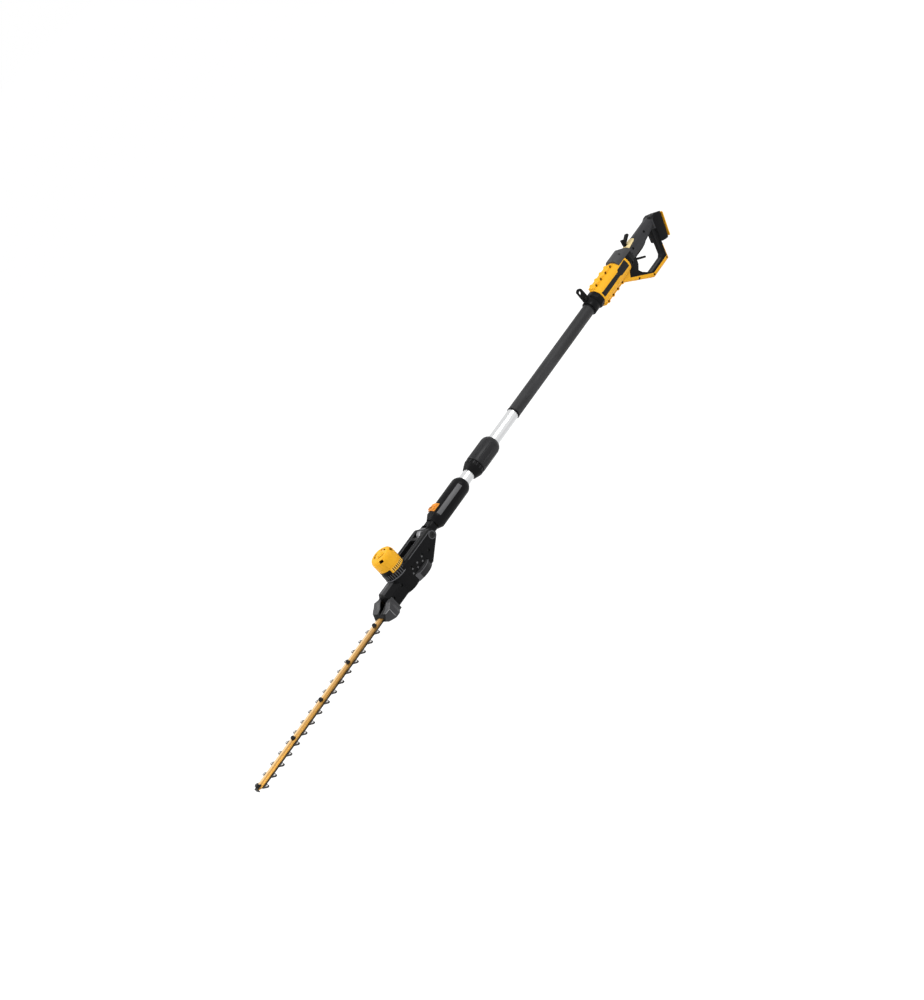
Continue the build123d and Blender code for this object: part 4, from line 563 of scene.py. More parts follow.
def anodised_tube(name, colour):
    """Drawn tube: soft lengthwise bands of painted reflection, fine draw lines and faint rub marks."""
    f = Finish(name)
    reflection_bands = f.noise(70.0, 2.0, (0.004, 1.0, 1.0), 0.5)
    lines = f.noise(900.0, 3.0, (0.02, 1.0, 1.0))
    rubs = f.ramp(f.noise(90.0, 9.0, (0.4, 1.0, 1.0), 0.75), [(0.62, 0.0), (0.74, 1.0)])
    tone = f.ramp(reflection_bands, [(place, shade(colour, light)) for place, light in TUBE_REFLECTION_BANDS])
    f.colour(f.mix(f.mix(1.0, rubs, (0.06, 0.06, 0.06), "MULTIPLY"), tone, shade(colour, 0.7)))
    f.roughness(lines, 0.3, 0.38)
    f.relief([(lines, 0.00001, 0.12)])
    return f.set(Metallic=1.0).material


def forged_steel(name, colour, rough=0.38):
    """Blackened steel: mill scale, tiny pits and a little oil."""
    f = Finish(name)
    scale = f.noise(120.0, 8.0, None, 0.7)
    pits = f.cells(700.0)
    tone = f.ramp(scale, [(0.35, shade(colour, 0.7)), (0.62, colour), (0.8, shade(colour, 1.7))])
    f.colour(tone)
    f.roughness(scale, rough - 0.1, rough + 0.2)
    f.relief([(pits, 0.00005, 0.3), (scale, 0.0001, 0.25)])
    return f.set(Metallic=0.9).material


def plain_finish(name, colour, rough, metallic=0.0):
    """Even finish of a small inner piece."""
    f = Finish(name)
    cloud = f.noise(60.0, 5.0)
    f.colour(f.mix(cloud, shade(colour, 0.85), shade(colour, 1.12)))
    f.roughness(cloud, rough - 0.06, rough + 0.08)
    f.relief([(cloud, 0.00008, 0.2)])
    return f.set(Metallic=metallic).material


FINISHES = {}
PLAIN_NODES = {
    "controller": "black",
    "switch_box": "black",
    "trigger_pin": "bright steel",
    "lock_off_pin": "bright steel",
    "lever_springs": "bright steel",
    "power_lead": "lead",
    "coupling_socket": "black",
    "coupling_contacts": "black",
    "lock_plunger": "bright steel",
    "plunger_spring": "bright steel",
    "stator": "windings",
    "rotor": "dark steel",
    "fan": "black",
    "pinion": "bright steel",
    "bearings": "bright steel",
    "crank_gear": "dark steel",
    "crank_shaft": "bright steel",
    "terminal_blades": "brass",
    "foam_sleeve": "foam",
    "upper_tube": "tube",
    "lower_tube": "tube",
    "gear_cover": "alloy",
}


def mix_finishes(c):
    """Makes every finish of the part from the colours in the panel."""
    yellow = tuple(c.yellow)
    black = tuple(c.black)
    grey = tuple(c.grey)
    pale = tuple(c.pale)
    orange = tuple(c.orange)
    foam = tuple(c.foam)
    tube = tuple(c.tube)
    bar = tuple(c.bar)
    FINISHES.update({
        "yellow": moulded_plastic("Yellow moulding", yellow, 0.42, 1500.0, 0.00005, 0.25, 0.14),
        "black": moulded_plastic("Black moulding", black, 0.34, 1500.0, 0.00006, 0.35, 0.06),
        # Lighter black for rims, bands and the can's foot ring: a painted highlight along those edges.
        "edge": moulded_plastic("Black edge with painted highlight", shade(black, 12.0), 0.35, 1500.0, 0.00004, 0.2, 0.3),
        # Glossier black made lighter: the lightness is a painted sheen, on the gear case's forward faces,
        # the can's fins, the hinge washers and the strap eye's rims.
        "satin_painted_sheen": moulded_plastic("Satin black moulding with painted sheen", shade(black, 8.0), 0.3, 1500.0, 0.00004, 0.2, 0.5),
        # Light grey for the guard's edges and ridges and the ring at the housing's end: painted highlights.
        "ash": moulded_plastic("Grey moulding for painted highlights", (0.24, 0.24, 0.245), 0.4, 1500.0, 0.00004, 0.2, 0.3),
        "dark": moulded_plastic("Dark inlay moulding", shade(black, 1.6), 0.5, 1100.0, 0.00008, 0.45, 0.15),
        "grey": moulded_plastic("Grey moulding", grey, 0.48, 1100.0, 0.00008, 0.45, 0.25),
        # Lighter grey: on the housing's inlays partly their own grey and partly a painted sheen, on the
        # head's vent caps painted highlights.
        "slate": moulded_plastic("Slate inlay", shade(grey, 2.0), 0.45, 1100.0, 0.00008, 0.4, 0.25),
        "nut": moulded_plastic("Coupling moulding", shade(black, 2.7), 0.36, 700.0, 0.0001, 0.5, 0.14),
        "guard": moulded_plastic("Guard moulding", shade(black, 4.8), 0.36, 1200.0, 0.00006, 0.4, 0.3),
        "pale": moulded_plastic("Pale surround moulding", pale, 0.45),
        # Paler yellow on the cap skirt's raised teeth: a painted highlight on them.
        "straw": moulded_plastic("Yellow moulding with painted highlight", (0.9, 0.62, 0.16), 0.4, 1500.0, 0.00005, 0.25, 0.2),
        # Dark orange on the slider's ribs: painted shade.
        "painted_rib_shade": moulded_plastic("Slider rib moulding with painted shade", shade(orange, 0.3), 0.4),
        "orange": moulded_plastic("Orange slider moulding", orange, 0.36),
        "rubber": soft_rubber("Soft grip rubber", shade(black, 5.0)),
        "foam": closed_foam("Sleeve foam", foam),
        "tube": anodised_tube("Anodised tube", tube),
        "bar": drawn_metal("Gold anodised bar", bar, 0.26, 0.92),
        # Darker and paler copies of the bar's gold: painted shade on its near side, painted reflection on
        # its far side.
        "bar shade": drawn_metal("Gold bar with painted shade", shade(bar, 0.4), 0.3, 0.92),
        "bar light": drawn_metal("Gold bar with painted reflection", (0.95, 0.64, 0.28), 0.26, 0.92),
        "blade": forged_steel("Blade steel", (0.05, 0.047, 0.045), 0.4),
        "ground": drawn_metal("Ground cutting edge", (0.7, 0.69, 0.68), 0.3, 1.0, (1.0, 0.05, 1.0)),
        "dark steel": forged_steel("Blackened steel", (0.025, 0.025, 0.025)),
        "bright steel": drawn_metal("Machined steel", (0.6, 0.6, 0.59), 0.28),
        "alloy": forged_steel("Cast gear case", (0.2, 0.2, 0.205), 0.45),
        "windings": plain_finish("Varnished windings", (0.035, 0.016, 0.009), 0.4, 0.6),
        "brass": plain_finish("Plated contact", (0.72, 0.52, 0.22), 0.3, 1.0),
        "lead": plain_finish("Lead insulation", (0.02, 0.02, 0.02), 0.5),
    })


# ------------------------------------------------------------------ panel values
class TrimmerColours(bpy.types.PropertyGroup):
    """Colours of the moulded and metal pieces."""
    yellow: bpy.props.FloatVectorProperty(name="Yellow", description="Body shells and motor cap",
                                          subtype="COLOR", default=(0.84, 0.415, 0.018), min=0, max=1)
    black: bpy.props.FloatVectorProperty(name="Black", description="Housing, head and grip mouldings",
                                         subtype="COLOR", default=(0.0065, 0.0065, 0.007), min=0, max=1)
    grey: bpy.props.FloatVectorProperty(name="Grey", description="Top cover and housing inlays",
                                        subtype="COLOR", default=(0.05, 0.05, 0.052), min=0, max=1)
    pale: bpy.props.FloatVectorProperty(name="Pale", description="Surround under the lock-off lever",
                                        subtype="COLOR", default=(0.75, 0.6, 0.3), min=0, max=1)
    orange: bpy.props.FloatVectorProperty(name="Orange", description="Thumb slider of the head lock",
                                          subtype="COLOR", default=(0.74, 0.27, 0.025), min=0, max=1)
    foam: bpy.props.FloatVectorProperty(name="Foam", description="Sleeve on the upper tube",
                                        subtype="COLOR", default=(0.02, 0.02, 0.021), min=0, max=1)
    tube: bpy.props.FloatVectorProperty(name="Tube", description="Anodised pole tubes",
                                        subtype="COLOR", default=(0.66, 0.665, 0.67), min=0, max=1)
    bar: bpy.props.FloatVectorProperty(name="Blade bar", description="Anodised bar over the blades",
                                       subtype="COLOR", default=(0.56, 0.285, 0.05), min=0, max=1)


class TrimmerSizes(bpy.types.PropertyGroup):
    """Sizes of the details that the looks add."""
    moulded_edge: bpy.props.FloatProperty(name="Moulded edge", description="Rounding of moulded edges",
                                          subtype="DISTANCE", unit="LENGTH", default=0.0007, min=0.0001)
    metal_edge: bpy.props.FloatProperty(name="Metal edge", description="Rounding of machined edges",
                                        subtype="DISTANCE", unit="LENGTH", default=0.0003, min=0.0001)
    ground_from: bpy.props.FloatProperty(name="Ground from",
                                         description="From the blades' middle line to the ground faces",
                                         subtype="DISTANCE", unit="LENGTH", default=0.0225, min=0.001)
    dark_rim: bpy.props.FloatProperty(name="Dark rim",
                                      description="Width of the dark rim around the ground faces",
                                      subtype="DISTANCE", unit="LENGTH", default=0.0014, min=0.0001)
    floor_size: bpy.props.FloatProperty(name="Floor size", description="Width of the studio floor",
                                        subtype="DISTANCE", unit="LENGTH", default=60.0, min=5.0)


# ------------------------------------------------------------------ operators
class TRIMMER_OT_finishes(bpy.types.Operator):
    """Mix the finishes and paint the pieces that keep their CAD mesh"""
    bl_idname = "trimmer.finishes"
    bl_label = "Mix finishes"

    def execute(self, context):
        mix_finishes(context.scene.trimmer_colours)
        for node, finish in PLAIN_NODES.items():
            paint(NODES[node], finish)
        return {"FINISHED"}


# Details of the pole, in millimetres: sizes, places from the tilt pivot, and outlines of turned pieces
# as (along the axis, radius).
RING_GRIP = (11.0, 3.0, 1.6)
RING_GRIP_BACK = 7.2                    # from the coupling ring's rear face to a bar's middle
RING_GRIPS = 16
SLIDER_RIB = (1.2, 12.0, 1.4)
SLIDER_RIB_PLACE = (66.9, 0.0, 33.3)
SLIDER_RIB_PITCH = 2.6
CUFF_OUTLINE = [(459.6, 18.5), (459.8, 19.2), (463.6, 19.2), (464.4, 18.5), (459.6, 18.5)]
CUFF_STEP = 424.0                       # between the foam sleeve's two cuffs
SEAL_OUTLINE = [(194.0, 17.2), (196.4, 17.2), (196.8, 18.2), (195.6, 19.4), (194.0, 19.6), (194.0, 17.2)]


class TRIMMER_OT_pole(bpy.types.Operator):
    """Dress the tubes' ends, the coupling and the lower housing"""
    bl_idname = "trimmer.pole"
    bl_label = "Dress the pole"

    def execute(self, context):
        edge = context.scene.trimmer_sizes.moulded_edge
        dress("coupling_nut", "nut", edge, 3)
        dress("coupling_ring", "black", edge, 3)
        rim = high("coupling_ring")
        grip = brick("ring_grips", (rim.x - RING_GRIP_BACK * MM, 0, rim.z), RING_GRIP)
        add_on(ring_of(grip, POLE_START, RING_GRIPS, "X"), "pole", "black_plastic", "nut")
        for side in ("left", "right"):
            dress("lower_housing_" + side, "black", edge)
        # The inlays' slate grey is partly their own colour and partly a painted sheen.
        dress("housing_inlays", "slate", FLUSH_EDGE)
        dress("pivot_knuckle", "black", edge)
        dress("release_slider", "orange", edge)
        # The slider's ribs are dark orange, a painted shade.
        rib = brick("slider_ribs", at_head(*SLIDER_RIB_PLACE), SLIDER_RIB, 0.4)
        repeat(rib, [(SLIDER_RIB_PITCH * step, 0, 0) for step in (1, 2)])
        add_on(rib, "release", "orange_plastic", "painted_rib_shade")
        cuff = turned("sleeve_cuffs", CUFF_OUTLINE, POLE_START)
        repeat(cuff, [(CUFF_STEP, 0, 0)])
        add_on(cuff, "pole", "black_plastic", "black")
        # A light grey ring at the housing's end, a painted highlight there.
        add_on(turned("tube_seal", SEAL_OUTLINE, POLE_START), "pole", "dark_plastic", "ash")
        return {"FINISHED"}


# Details of the head, in millimetres: sizes, places from the tilt pivot, and outlines of turned pieces.
NOSE_STRIP = 12.5                       # half width of the strip of painted highlight along the nose's top
NOSE_STRIP_END = -170.0                 # the strip runs from here to the nose
VENT_CAP_PLACE = (-116.6, -36.2, -22.5)
VENT_CAP_PITCH = 22.0
VENT_ROW_STEP = (7.0, 10.0)             # along and up from the lower row to the upper row
HEAD_RIM = (102.0, 1.4, 1.6)
HEAD_RIM_PLACE = (-49.0, -35.8, 12.6)
RECESS_RIM = (84.0, 1.4, 1.6)
RECESS_RIM_PLACE = (-58.0, -16.2, 17.2)
BELLY_RIB = (3.0, 34.0, 1.6)
BELLY_RIB_PLACE = (-197.0, 0.0, -51.2)
BELLY_RIB_PITCH = 9.0
BELLY_RIBS = 5
WASHER_OUTLINE = [(-36.0, 8.9), (-36.9, 9.4), (-36.9, 11.2), (-36.0, 11.8), (-35.4, 11.8), (-35.4, 8.9),
                  (-36.0, 8.9)]
BAND_OUTLINE = [(-34.6, 45.8), (-34.4, 46.6), (-33.2, 46.9), (-32.2, 46.6), (-32.0, 45.8), (-34.6, 45.8)]
COVER_BOLT_CIRCLE = 35.5                # radius of the ring of screws in the gear cover
COVER_BOLTS = 6
VALLEY_BLOCK = (72.0, 60.0, 40.0)       # trimmed to the valley between the guard's wings
VALLEY_BLOCK_PLACE = (-236.0, 0.0, -14.0)
VALLEY_FLOOR_PLACE = (-236.0, 0.0, -34.0)
VALLEY_SIDE_LEAN = (19.0, -21.0)        # outward across and downward: square to the valley's side
VALLEY_SHADE = (-18.0, 8.0)             # the band of painted shade along the guard
GUARD_CROWN = (-238.0, -38.3, -25.2)    # the wing's highest corner at its outer side
GUARD_RIDGE_END = (-252.0, -30.2, -28.2)
GUARD_POST_END = (-238.0, -38.3, -50.0)
GUARD_BEAD = 0.8


class TRIMMER_OT_head(bpy.types.Operator):
    """Dress the head shells, hinge, gear case and guard"""
    bl_idname = "trimmer.head"
    bl_label = "Dress the head"

    def execute(self, context):
        size = context.scene.trimmer_sizes
        edge = size.moulded_edge
        metal = size.metal_edge
        self.shells(2 * edge)
        dress("detent_sector", "alloy", metal)
        for node in ("pivot_bolt", "pivot_nut", "head_screws"):
            dress(node, "dark steel", metal)
        case = dress("gear_case", "nut", edge)
        # The faces turned toward the nose are lighter: a painted sheen on that side of the gear case.
        two_tone(case, "satin_painted_sheen", lambda spot, normal: normal.x < -0.4 and abs(normal.z) < 0.5)
        self.guard(edge)
        self.vent_caps()
        self.rims()
        self.guard_ridges()
        self.band_and_washers()
        self.cover_screws()
        self.belly_ribs()
        return {"FINISHED"}

    def shells(self, edge):
        """Head shells with a strip of painted highlight along the top of the nose."""
        strip = NOSE_STRIP * MM
        strip_end = at_head(NOSE_STRIP_END, 0, 0).x

        def on_strip(spot, normal):
            """Whether a face belongs to the strip of painted highlight."""
            return normal.z > 0.5 and abs(spot.y) < strip and spot.x < strip_end

        for side in ("left", "right"):
            shell = score_across(dress("head_shell_" + side, "black", edge, 3), -strip, strip)
            two_tone(shell, "guard", on_strip)

    def guard(self, edge):
        """Blade guard with a valley between its wings, painted shade on a band and on its forward faces, and
        a painted highlight on its rounded edges.
        """
        guard = dress("blade_guard", "guard", edge, angle=20.0, wear_and_highlight="ash")
        valley = brick("valley", at_head(*VALLEY_BLOCK_PLACE), VALLEY_BLOCK, 0.2)
        across, down = VALLEY_SIDE_LEAN
        for side in (1, -1):
            score(valley, [at_head(*VALLEY_FLOOR_PLACE)], (0, across * side, down), True)
        carve(guard, valley)
        near, far = (border * MM for border in VALLEY_SHADE)
        score_across(guard, near, far)
        # Painted shade: black on the band and on the faces turned forward.
        two_tone(guard, "black", lambda spot, normal: near < spot.y < far or normal.x < -0.7)

    def vent_caps(self):
        """Two rows of small cupped caps on each side of the head, in light grey as painted highlights at the
        vents.
        """
        cap = peg("head_vent_caps", at_head(*VENT_CAP_PLACE), 2.7, 1.0, "Y")
        sink(cap, (0, -1, 0), 0.5, 1.0)
        along, up = VENT_ROW_STEP
        spots = [(VENT_CAP_PITCH * step + along * row, 0, up * row) for row in (0, 1) for step in (0, 1, 2)]
        repeat(cap, spots[1:])
        add_on(mirrored(cap), "head", "black_plastic", "slate")

    def rims(self):
        """Rims along the head's upper edges and along the recess between them, in lighter black as a painted
        highlight.
        """
        rim = brick("head_rims", at_head(*HEAD_RIM_PLACE), HEAD_RIM, 0.5)
        lip = brick("recess_rims", at_head(*RECESS_RIM_PLACE), RECESS_RIM, 0.5)
        add_on(mirrored(join([rim, lip], "head_rims")), "head", "black_plastic", "edge")

    def guard_ridges(self):
        """A thin light grey bead along each wing's crown and down its outer corner, a painted highlight
        along those edges.
        """
        crown = at_head(*GUARD_CROWN)
        ridge = bead("guard_ridges", crown, at_head(*GUARD_RIDGE_END), GUARD_BEAD)
        post = bead("guard_posts", crown, at_head(*GUARD_POST_END), GUARD_BEAD)
        add_on(mirrored(join([ridge, post], "guard_ridges")), "head", "black_plastic", "ash")

    def band_and_washers(self):
        """A band around the gear case in lighter black as a painted highlight, and a washer on each side of
        the tilt hinge in the painted-sheen black.
        """
        band = turned("gear_case_band", BAND_OUTLINE, (middle("gear_case").x, 0, PIVOT.z), "Z", 96)
        add_on(band, "head", "black_plastic", "edge")
        washer = turned("hinge_washers", WASHER_OUTLINE, PIVOT_MIDDLE, "Y")
        add_on(mirrored(washer), "head", "black_plastic", "satin_painted_sheen")

    def cover_screws(self):
        """A ring of screws in the gear cover."""
        centre = middle("gear_cover")
        place = (centre.x + COVER_BOLT_CIRCLE * MM, 0, low("gear_cover").z - 0.2 * MM)
        screw = peg("gear_cover_screws", place, 3.4, 1.6)
        sink(screw, (0, 0, -1), 0.8, 1.5)
        add_on(ring_of(screw, centre, COVER_BOLTS), "head", "dark_steel", "dark steel")

    def belly_ribs(self):
        """Ribs across the underside of the nose."""
        rib = brick("nose_belly_ribs", at_head(*BELLY_RIB_PLACE), BELLY_RIB, 0.5)
        repeat(rib, [(BELLY_RIB_PITCH * step, 0, 0) for step in range(1, BELLY_RIBS)])
        add_on(rib, "head", "black_plastic", "black")


# Details of the motor, in millimetres. The foot ring's outline is (up, out from the can).
CAN_FIN = (1.8, 2.4, 16.0)
CAN_FIN_STAND = 0.2
CAN_FIN_Z = 13.0
CAN_FINS = 32
FOOT_RING_OUTLINE = [(2.2, -0.4), (2.2, 2.0), (3.4, 2.4), (4.6, 1.6), (5.0, -0.4), (2.2, -0.4)]
HUB_OUTLINE = [(71.6, 0.0), (73.2, 0.0), (73.4, 7.5), (72.8, 8.6), (71.6, 9.0)]
SKIRT_PITCH = 9.0                       # degrees between the bars on the cap's skirt
SKIRT_BAR_THICK = 1.8
SKIRT_BAR_HEIGHT = 9.0
SKIRT_Z = 29.0


class TRIMMER_OT_motor(bpy.types.Operator):
    """Dress the motor can and its cap"""
    bl_idname = "trimmer.motor"
    bl_label = "Dress the motor"

    def execute(self, context):
        edge = context.scene.trimmer_sizes.moulded_edge
        dress("motor_can", "black", edge)
        dress("motor_cap", "yellow", edge)
        axis = (MOTOR.x, 0, PIVOT.z)
        radius = half_width("motor_can")
        # The fins and the foot ring are lighter black: painted highlight streaks and a painted highlight
        # band on the can.
        fin = brick("can_fins", at_head(MOTOR_X + radius + CAN_FIN_STAND, 0, CAN_FIN_Z), CAN_FIN, 0.5)
        add_on(ring_of(fin, axis, CAN_FINS), "head", "black_plastic", "satin_painted_sheen")
        foot = [(up, radius + out) for up, out in FOOT_RING_OUTLINE]
        add_on(turned("can_foot_ring", foot, axis, "Z", 96), "head", "black_plastic", "edge")
        # The skirt's teeth are paler yellow, a painted highlight on them.
        teeth = self.skirt_bars("skirt_teeth", axis, width=1.6, stand=1.2, count=8)
        add_on(teeth, "head", "yellow_plastic", "straw")
        liners = self.skirt_bars("slot_liners", axis, width=2.4, stand=0.2, count=7)
        add_on(liners, "head", "black_plastic", "black")
        add_on(turned("cap_hub", HUB_OUTLINE, axis, "Z", 48), "head", "yellow_plastic", "yellow")
        return {"FINISHED"}

    def skirt_bars(self, name, axis, width, stand, count):
        """A fan of upright bars on each side of the cap's skirt, sizes in millimetres."""
        place = at_head(MOTOR_X + half_width("motor_cap") + stand - SKIRT_BAR_THICK / 2, 0, SKIRT_Z)
        bars = []
        for side in (-90, 90):
            for step in range(count):
                brick(name, place, (SKIRT_BAR_THICK, width, SKIRT_BAR_HEIGHT), 0.3)
                turn = radians(side + SKIRT_PITCH * (step - (count - 1) / 2))
                bpy.ops.transform.rotate(value=turn, orient_axis="Z", center_override=axis)
                bars.append(settle())
        return join(bars, name)


# Where the bar's painted shade ends and its painted reflection begins, across the bar in millimetres.
BAR_BANDS = (-10.0, 3.0)


class TRIMMER_OT_blades(bpy.types.Operator):
    """Grind the blades and dress the bar, bolts and tip cap"""
    bl_idname = "trimmer.blades"
    bl_label = "Dress the blades"

    def execute(self, context):
        size = context.scene.trimmer_sizes
        root = size.ground_from
        for node in ("upper_blade", "lower_blade"):
            blade = score_across(dress(node, "blade", size.metal_edge, 1), -root, root)
            pick_faces(blade, lambda spot, normal: abs(spot.y) > root and abs(normal.z) > 0.95)
            bpy.ops.mesh.inset(thickness=size.dark_rim)
            leave_edit()
            blade.data.materials.append(FINISHES["ground"])
            for face in blade.data.polygons:
                face.material_index = int(face.select)
        near, far = (border * MM for border in BAR_BANDS)
        bar = score_across(dress("blade_bar", "bar", size.metal_edge), near, far)
        # Painted shade on the bar's near side and painted reflection on its far side.
        two_tone(bar, "bar shade", lambda spot, normal: spot.y < near)
        two_tone(bar, "bar light", lambda spot, normal: spot.y > far)
        dress("blade_bolts", "dark steel", size.metal_edge)
        dress("tip_cap", "dark steel", size.metal_edge)
        return {"FINISHED"}


# Details of the hand grip, in millimetres from the body's front face and the pole's axis.
RUBBER_FROM = 186.0
RUBBER_TO = 322.0
RUBBER_LOW = -22.0                      # the rubber reaches down to this height
COVER_SCREW_X = 149.0
BARREL_AXIS_Z = 16.0
BARREL_RADIUS = 24.6                    # from the barrel's axis to the middle of a cover screw
COVER_SCREW_TURN = pi / 4               # around the barrel, from straight up to a cover screw
EYE_OUTLINE = [(2.5, 5.2), (3.1, 5.4), (3.1, 7.2), (2.5, 7.6), (2.5, 5.2)]
EYE_PLACE = (-36.5, 0.0, 53.5)
FOOT_TOP = (369.0, 0.0, 12.0)           # the upper end of the battery foot's face
FOOT_OUTWARD = (74.0, 0.0, -35.0)       # square to the foot's face
FOOT_DOWN = (-35.0, 0.0, -74.0)         # along the foot's face
RIM_FROM = 4.4                          # the yellow rim begins this far out
RIM_SIDE = 19.0                         # and this far from the middle
RIM_END = 7.0                           # the foot's upper end is yellow for this length
RIM_END_FROM = 1.0                      # from this far out


class TRIMMER_OT_handle(bpy.types.Operator):
    """Dress the hand-grip shells, cover, clamp, levers and battery foot"""
    bl_idname = "trimmer.handle"
    bl_label = "Dress the hand grip"

    def execute(self, context):
        size = context.scene.trimmer_sizes
        edge = size.moulded_edge
        metal = size.metal_edge
        start = at_grip(RUBBER_FROM, 0, RUBBER_LOW)
        end = at_grip(RUBBER_TO, 0, 0)
        for side in ("left", "right"):
            dress("body_shell_" + side, "yellow", edge)
            shell = dress("grip_shell_" + side, "black", edge)
            two_tone(shell, "rubber", lambda spot, normal: start.x < spot.x < end.x and spot.z > start.z)
        dress("top_cover", "grey", edge)
        dress("side_inlays", "dark", 0.25 * MM)
        dress("nose_collar", "black", edge)
        dress("strap_clamp", "black", edge)
        dress("clamp_screw", "dark steel", metal)
        self.battery_foot(metal)
        dress("terminal_block", "black", metal)
        dress("trigger", "black", edge)
        dress("lock_off_lever", "black", edge)
        dress("lock_off_plate", "pale", FLUSH_EDGE)
        dress("body_screws", "dark steel", metal)
        dress("grip_screws", "dark steel", metal)
        across = BARREL_RADIUS * sin(COVER_SCREW_TURN)
        up = BARREL_RADIUS * cos(COVER_SCREW_TURN)
        for name, side in (("cover_screw_right", -1), ("cover_screw_left", 1)):
            place = at_grip(COVER_SCREW_X, side * across, BARREL_AXIS_Z + up)
            peg(name, place, 3.3, 1.0)
            bpy.ops.transform.rotate(value=side * COVER_SCREW_TURN, orient_axis="X", center_override=place)
            add_on(settle(), "pole", "dark_steel", "dark steel")
        eye = turned("strap_eye_rims", EYE_OUTLINE, at_grip(*EYE_PLACE), "Y")
        add_on(eye, "pole", "black_plastic", "satin_painted_sheen")
        return {"FINISHED"}

    def battery_foot(self, edge):
        """Black rails with a yellow rim round the foot's face and at its upper end."""
        top = at_grip(*FOOT_TOP)
        outward = Vector(FOOT_OUTWARD).normalized()
        down = Vector(FOOT_DOWN).normalized()
        rails = score(dress("battery_rails", "black", edge), [top + outward * RIM_FROM * MM], outward)
        score_across(rails, -RIM_SIDE * MM, RIM_SIDE * MM)

        def on_rim(spot, normal):
            """Whether a face belongs to the rim or to the upper end."""
            reach = (spot - top).dot(outward) / MM
            drop = (spot - top).dot(down) / MM
            beside = abs(spot.y) > RIM_SIDE * MM or normal.dot(outward) < 0.5
            return (reach > RIM_FROM and beside) or (reach > RIM_END_FROM and drop < RIM_END)

        two_tone(rails, "yellow", on_rim)


# Stage: each lamp's place, aim and width in metres, its power in watts; the camera's lens in millimetres.
LAMPS = {
    "overhead_lamp": ((-0.5, 0.9, 2.9), (0, 0, 0.1), 2.0, 42.0),
    "key_lamp": ((1.4, -1.7, 2.3), (0, 0, 0.1), 1.1, 46.0),
    "side_lamp": ((-3.0, -1.2, 1.7), (-0.2, 0, 0.1), 1.4, 24.0),
    "rear_lamp": ((-2.4, 2.2, 3.2), (0, 0, 0.1), 1.8, 60.0),
}
CAMERA_PLACE = (-2.1543, -3.7398, 1.8476)
CAMERA_RIGHT = (0.5243, -0.5828, -0.6208)
CAMERA_BACK = (-0.4462, -0.8090, 0.3827)
CAMERA_LENS = 61.738
SKY_LIGHT = 0.36                        # strength of the sky as a light, though it looks white
PAPER_GLOW = 1.16                       # strength of the floor's own glow where it is seen
PAPER_GLOW_SHARE = 0.8                  # how much of the floor's shade the glow makes up


class TRIMMER_OT_stage(bpy.types.Operator):
    """Add the floor, the soft lamps, the world and the camera"""
    bl_idname = "trimmer.stage"
    bl_label = "Set the stage"

    def execute(self, context):
        scene = context.scene
        fresh()
        bpy.ops.mesh.primitive_plane_add(size=scene.trimmer_sizes.floor_size, location=(0, 0, -0.0006))
        floor = new_piece("studio_floor")
        floor.data.materials.append(floor_paper())
        light_world(scene)
        for name, (place, aim, width, power) in LAMPS.items():
            fresh()
            bpy.ops.object.light_add(type="AREA", location=place)
            lamp = context.object
            lamp.name = name
            lamp.data.shape = "DISK"
            lamp.data.size = width
            lamp.data.energy = power
            lamp.rotation_euler = (Vector(aim) - Vector(place)).to_track_quat("-Z", "Y").to_euler()
        fresh()
        bpy.ops.object.camera_add()
        camera = context.object
        camera.name = "product_camera"
        camera.data.lens = CAMERA_LENS
        camera.data.sensor_width = 36.0
        camera.data.sensor_fit = "AUTO"
        camera.data.clip_end = 100.0
        back = Vector(CAMERA_BACK).normalized()
        up = back.cross(Vector(CAMERA_RIGHT).normalized()).normalized()
        turn = Matrix((up.cross(back), up, back)).transposed().to_4x4()
        camera.matrix_world = Matrix.Translation(CAMERA_PLACE) @ turn
        scene.camera = camera
        scene.view_settings.view_transform = "Standard"
        return {"FINISHED"}


def seen_directly(tree):
    """One for what the camera sees, straight, mirrored or through glass, and zero for plain light."""
    path = tree.nodes.new("ShaderNodeLightPath")
    value = path.outputs["Is Camera Ray"]
    for way in ("Is Glossy Ray", "Is Transmission Ray"):
        larger = tree.nodes.new("ShaderNodeMath")
        larger.operation = "MAXIMUM"
        tree.links.new(value, larger.inputs[0])
        tree.links.new(path.outputs[way], larger.inputs[1])
        value = larger.outputs[0]
    return value


def floor_paper():
    """Pale studio paper that keeps a soft shadow."""
    f = Finish("Studio paper")
    f.colour((0.9, 0.9, 0.9))
    f.roughness(0.9)
    tree = f.material.node_tree
    part = tree.nodes.new("ShaderNodeMath")
    part.operation = "MULTIPLY"
    part.inputs[1].default_value = PAPER_GLOW_SHARE
    tree.links.new(seen_directly(tree), part.inputs[0])
    glow = tree.nodes.new("ShaderNodeEmission")
    glow.inputs["Color"].default_value = (1, 1, 1, 1)
    glow.inputs["Strength"].default_value = PAPER_GLOW
    mix = tree.nodes.new("ShaderNodeMixShader")
    tree.links.new(part.outputs[0], mix.inputs["Fac"])
    tree.links.new(f.shader.outputs["BSDF"], mix.inputs[1])
    tree.links.new(glow.outputs["Emission"], mix.inputs[2])
    tree.links.new(mix.outputs["Shader"], tree.nodes["Material Output"].inputs["Surface"])
    return f.material


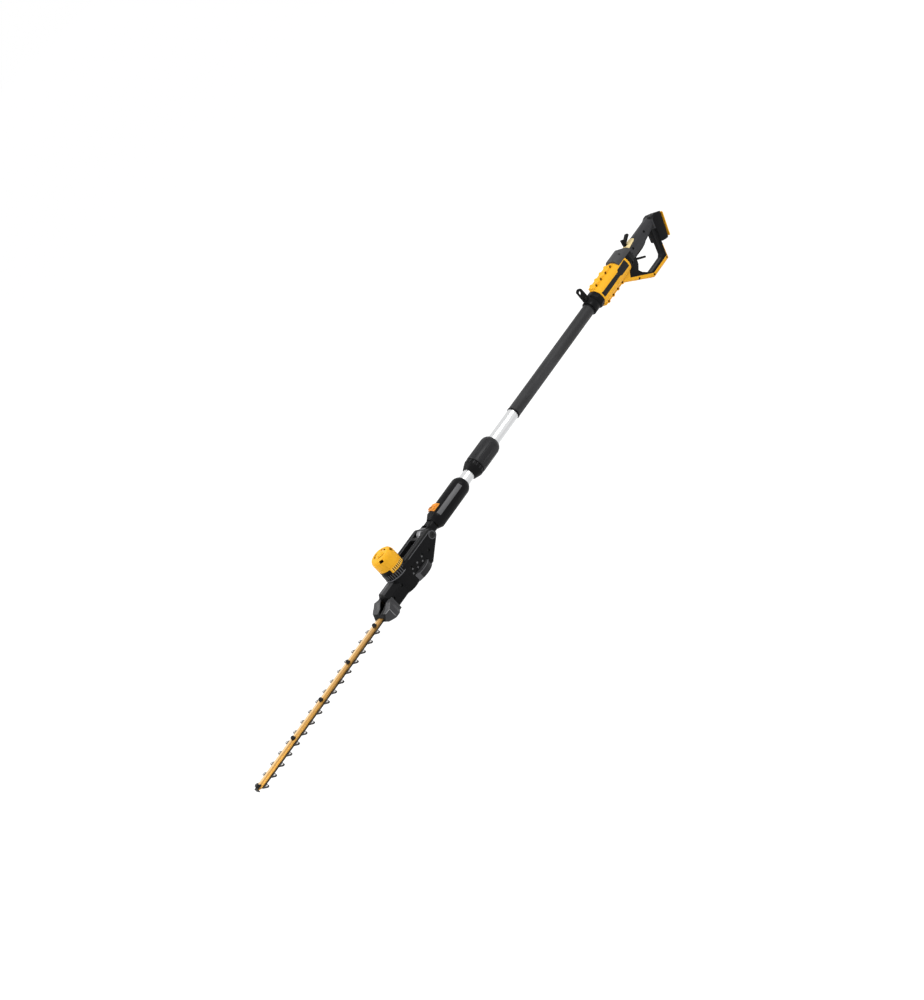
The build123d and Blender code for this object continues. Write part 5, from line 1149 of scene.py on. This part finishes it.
def light_world(scene):
    """Even pale sky: white to the camera and in reflections, softer as a light."""
    world = bpy.data.worlds.new("Studio sky")
    scene.world = world
    world.use_nodes = True
    tree = world.node_tree
    strength = tree.nodes.new("ShaderNodeMapRange")
    strength.inputs["To Min"].default_value = SKY_LIGHT
    strength.inputs["To Max"].default_value = 1.0
    tree.links.new(seen_directly(tree), strength.inputs["Value"])
    sky = tree.nodes["Background"]
    sky.inputs["Color"].default_value = (1, 1, 1, 1)
    tree.links.new(strength.outputs["Result"], sky.inputs["Strength"])


class TRIMMER_PT_sidebar(bpy.types.Panel):
    """Buttons and values for the pole hedge trimmer"""
    bl_idname = "TRIMMER_PT_sidebar"
    bl_label = "Pole hedge trimmer"
    bl_space_type = "VIEW_3D"
    bl_region_type = "UI"
    bl_category = "Trimmer"

    def draw(self, context):
        for step in STEPS:
            self.layout.operator(step.bl_idname)
        for group in (context.scene.trimmer_colours, context.scene.trimmer_sizes):
            for name in type(group).__annotations__:
                self.layout.prop(group, name)


STEPS = (TRIMMER_OT_finishes, TRIMMER_OT_pole, TRIMMER_OT_head, TRIMMER_OT_motor, TRIMMER_OT_blades,
         TRIMMER_OT_handle, TRIMMER_OT_stage)
CLASSES = (TrimmerColours, TrimmerSizes, *STEPS, TRIMMER_PT_sidebar)


def register():
    """Adds the operators, the panel and the panel's values."""
    for item in CLASSES:
        bpy.utils.register_class(item)
    bpy.types.Scene.trimmer_colours = bpy.props.PointerProperty(type=TrimmerColours)
    bpy.types.Scene.trimmer_sizes = bpy.props.PointerProperty(type=TrimmerSizes)


def unregister():
    """Takes away what register() added."""
    del bpy.types.Scene.trimmer_sizes
    del bpy.types.Scene.trimmer_colours
    for item in reversed(CLASSES):
        bpy.utils.unregister_class(item)


def main():
    """Builds the whole model by its operators."""
    register()
    bpy.ops.trimmer.finishes()
    bpy.ops.trimmer.pole()
    bpy.ops.trimmer.head()
    bpy.ops.trimmer.motor()
    bpy.ops.trimmer.blades()
    bpy.ops.trimmer.handle()
    bpy.ops.trimmer.stage()
    fresh()


if __name__ == "__main__":
    main()
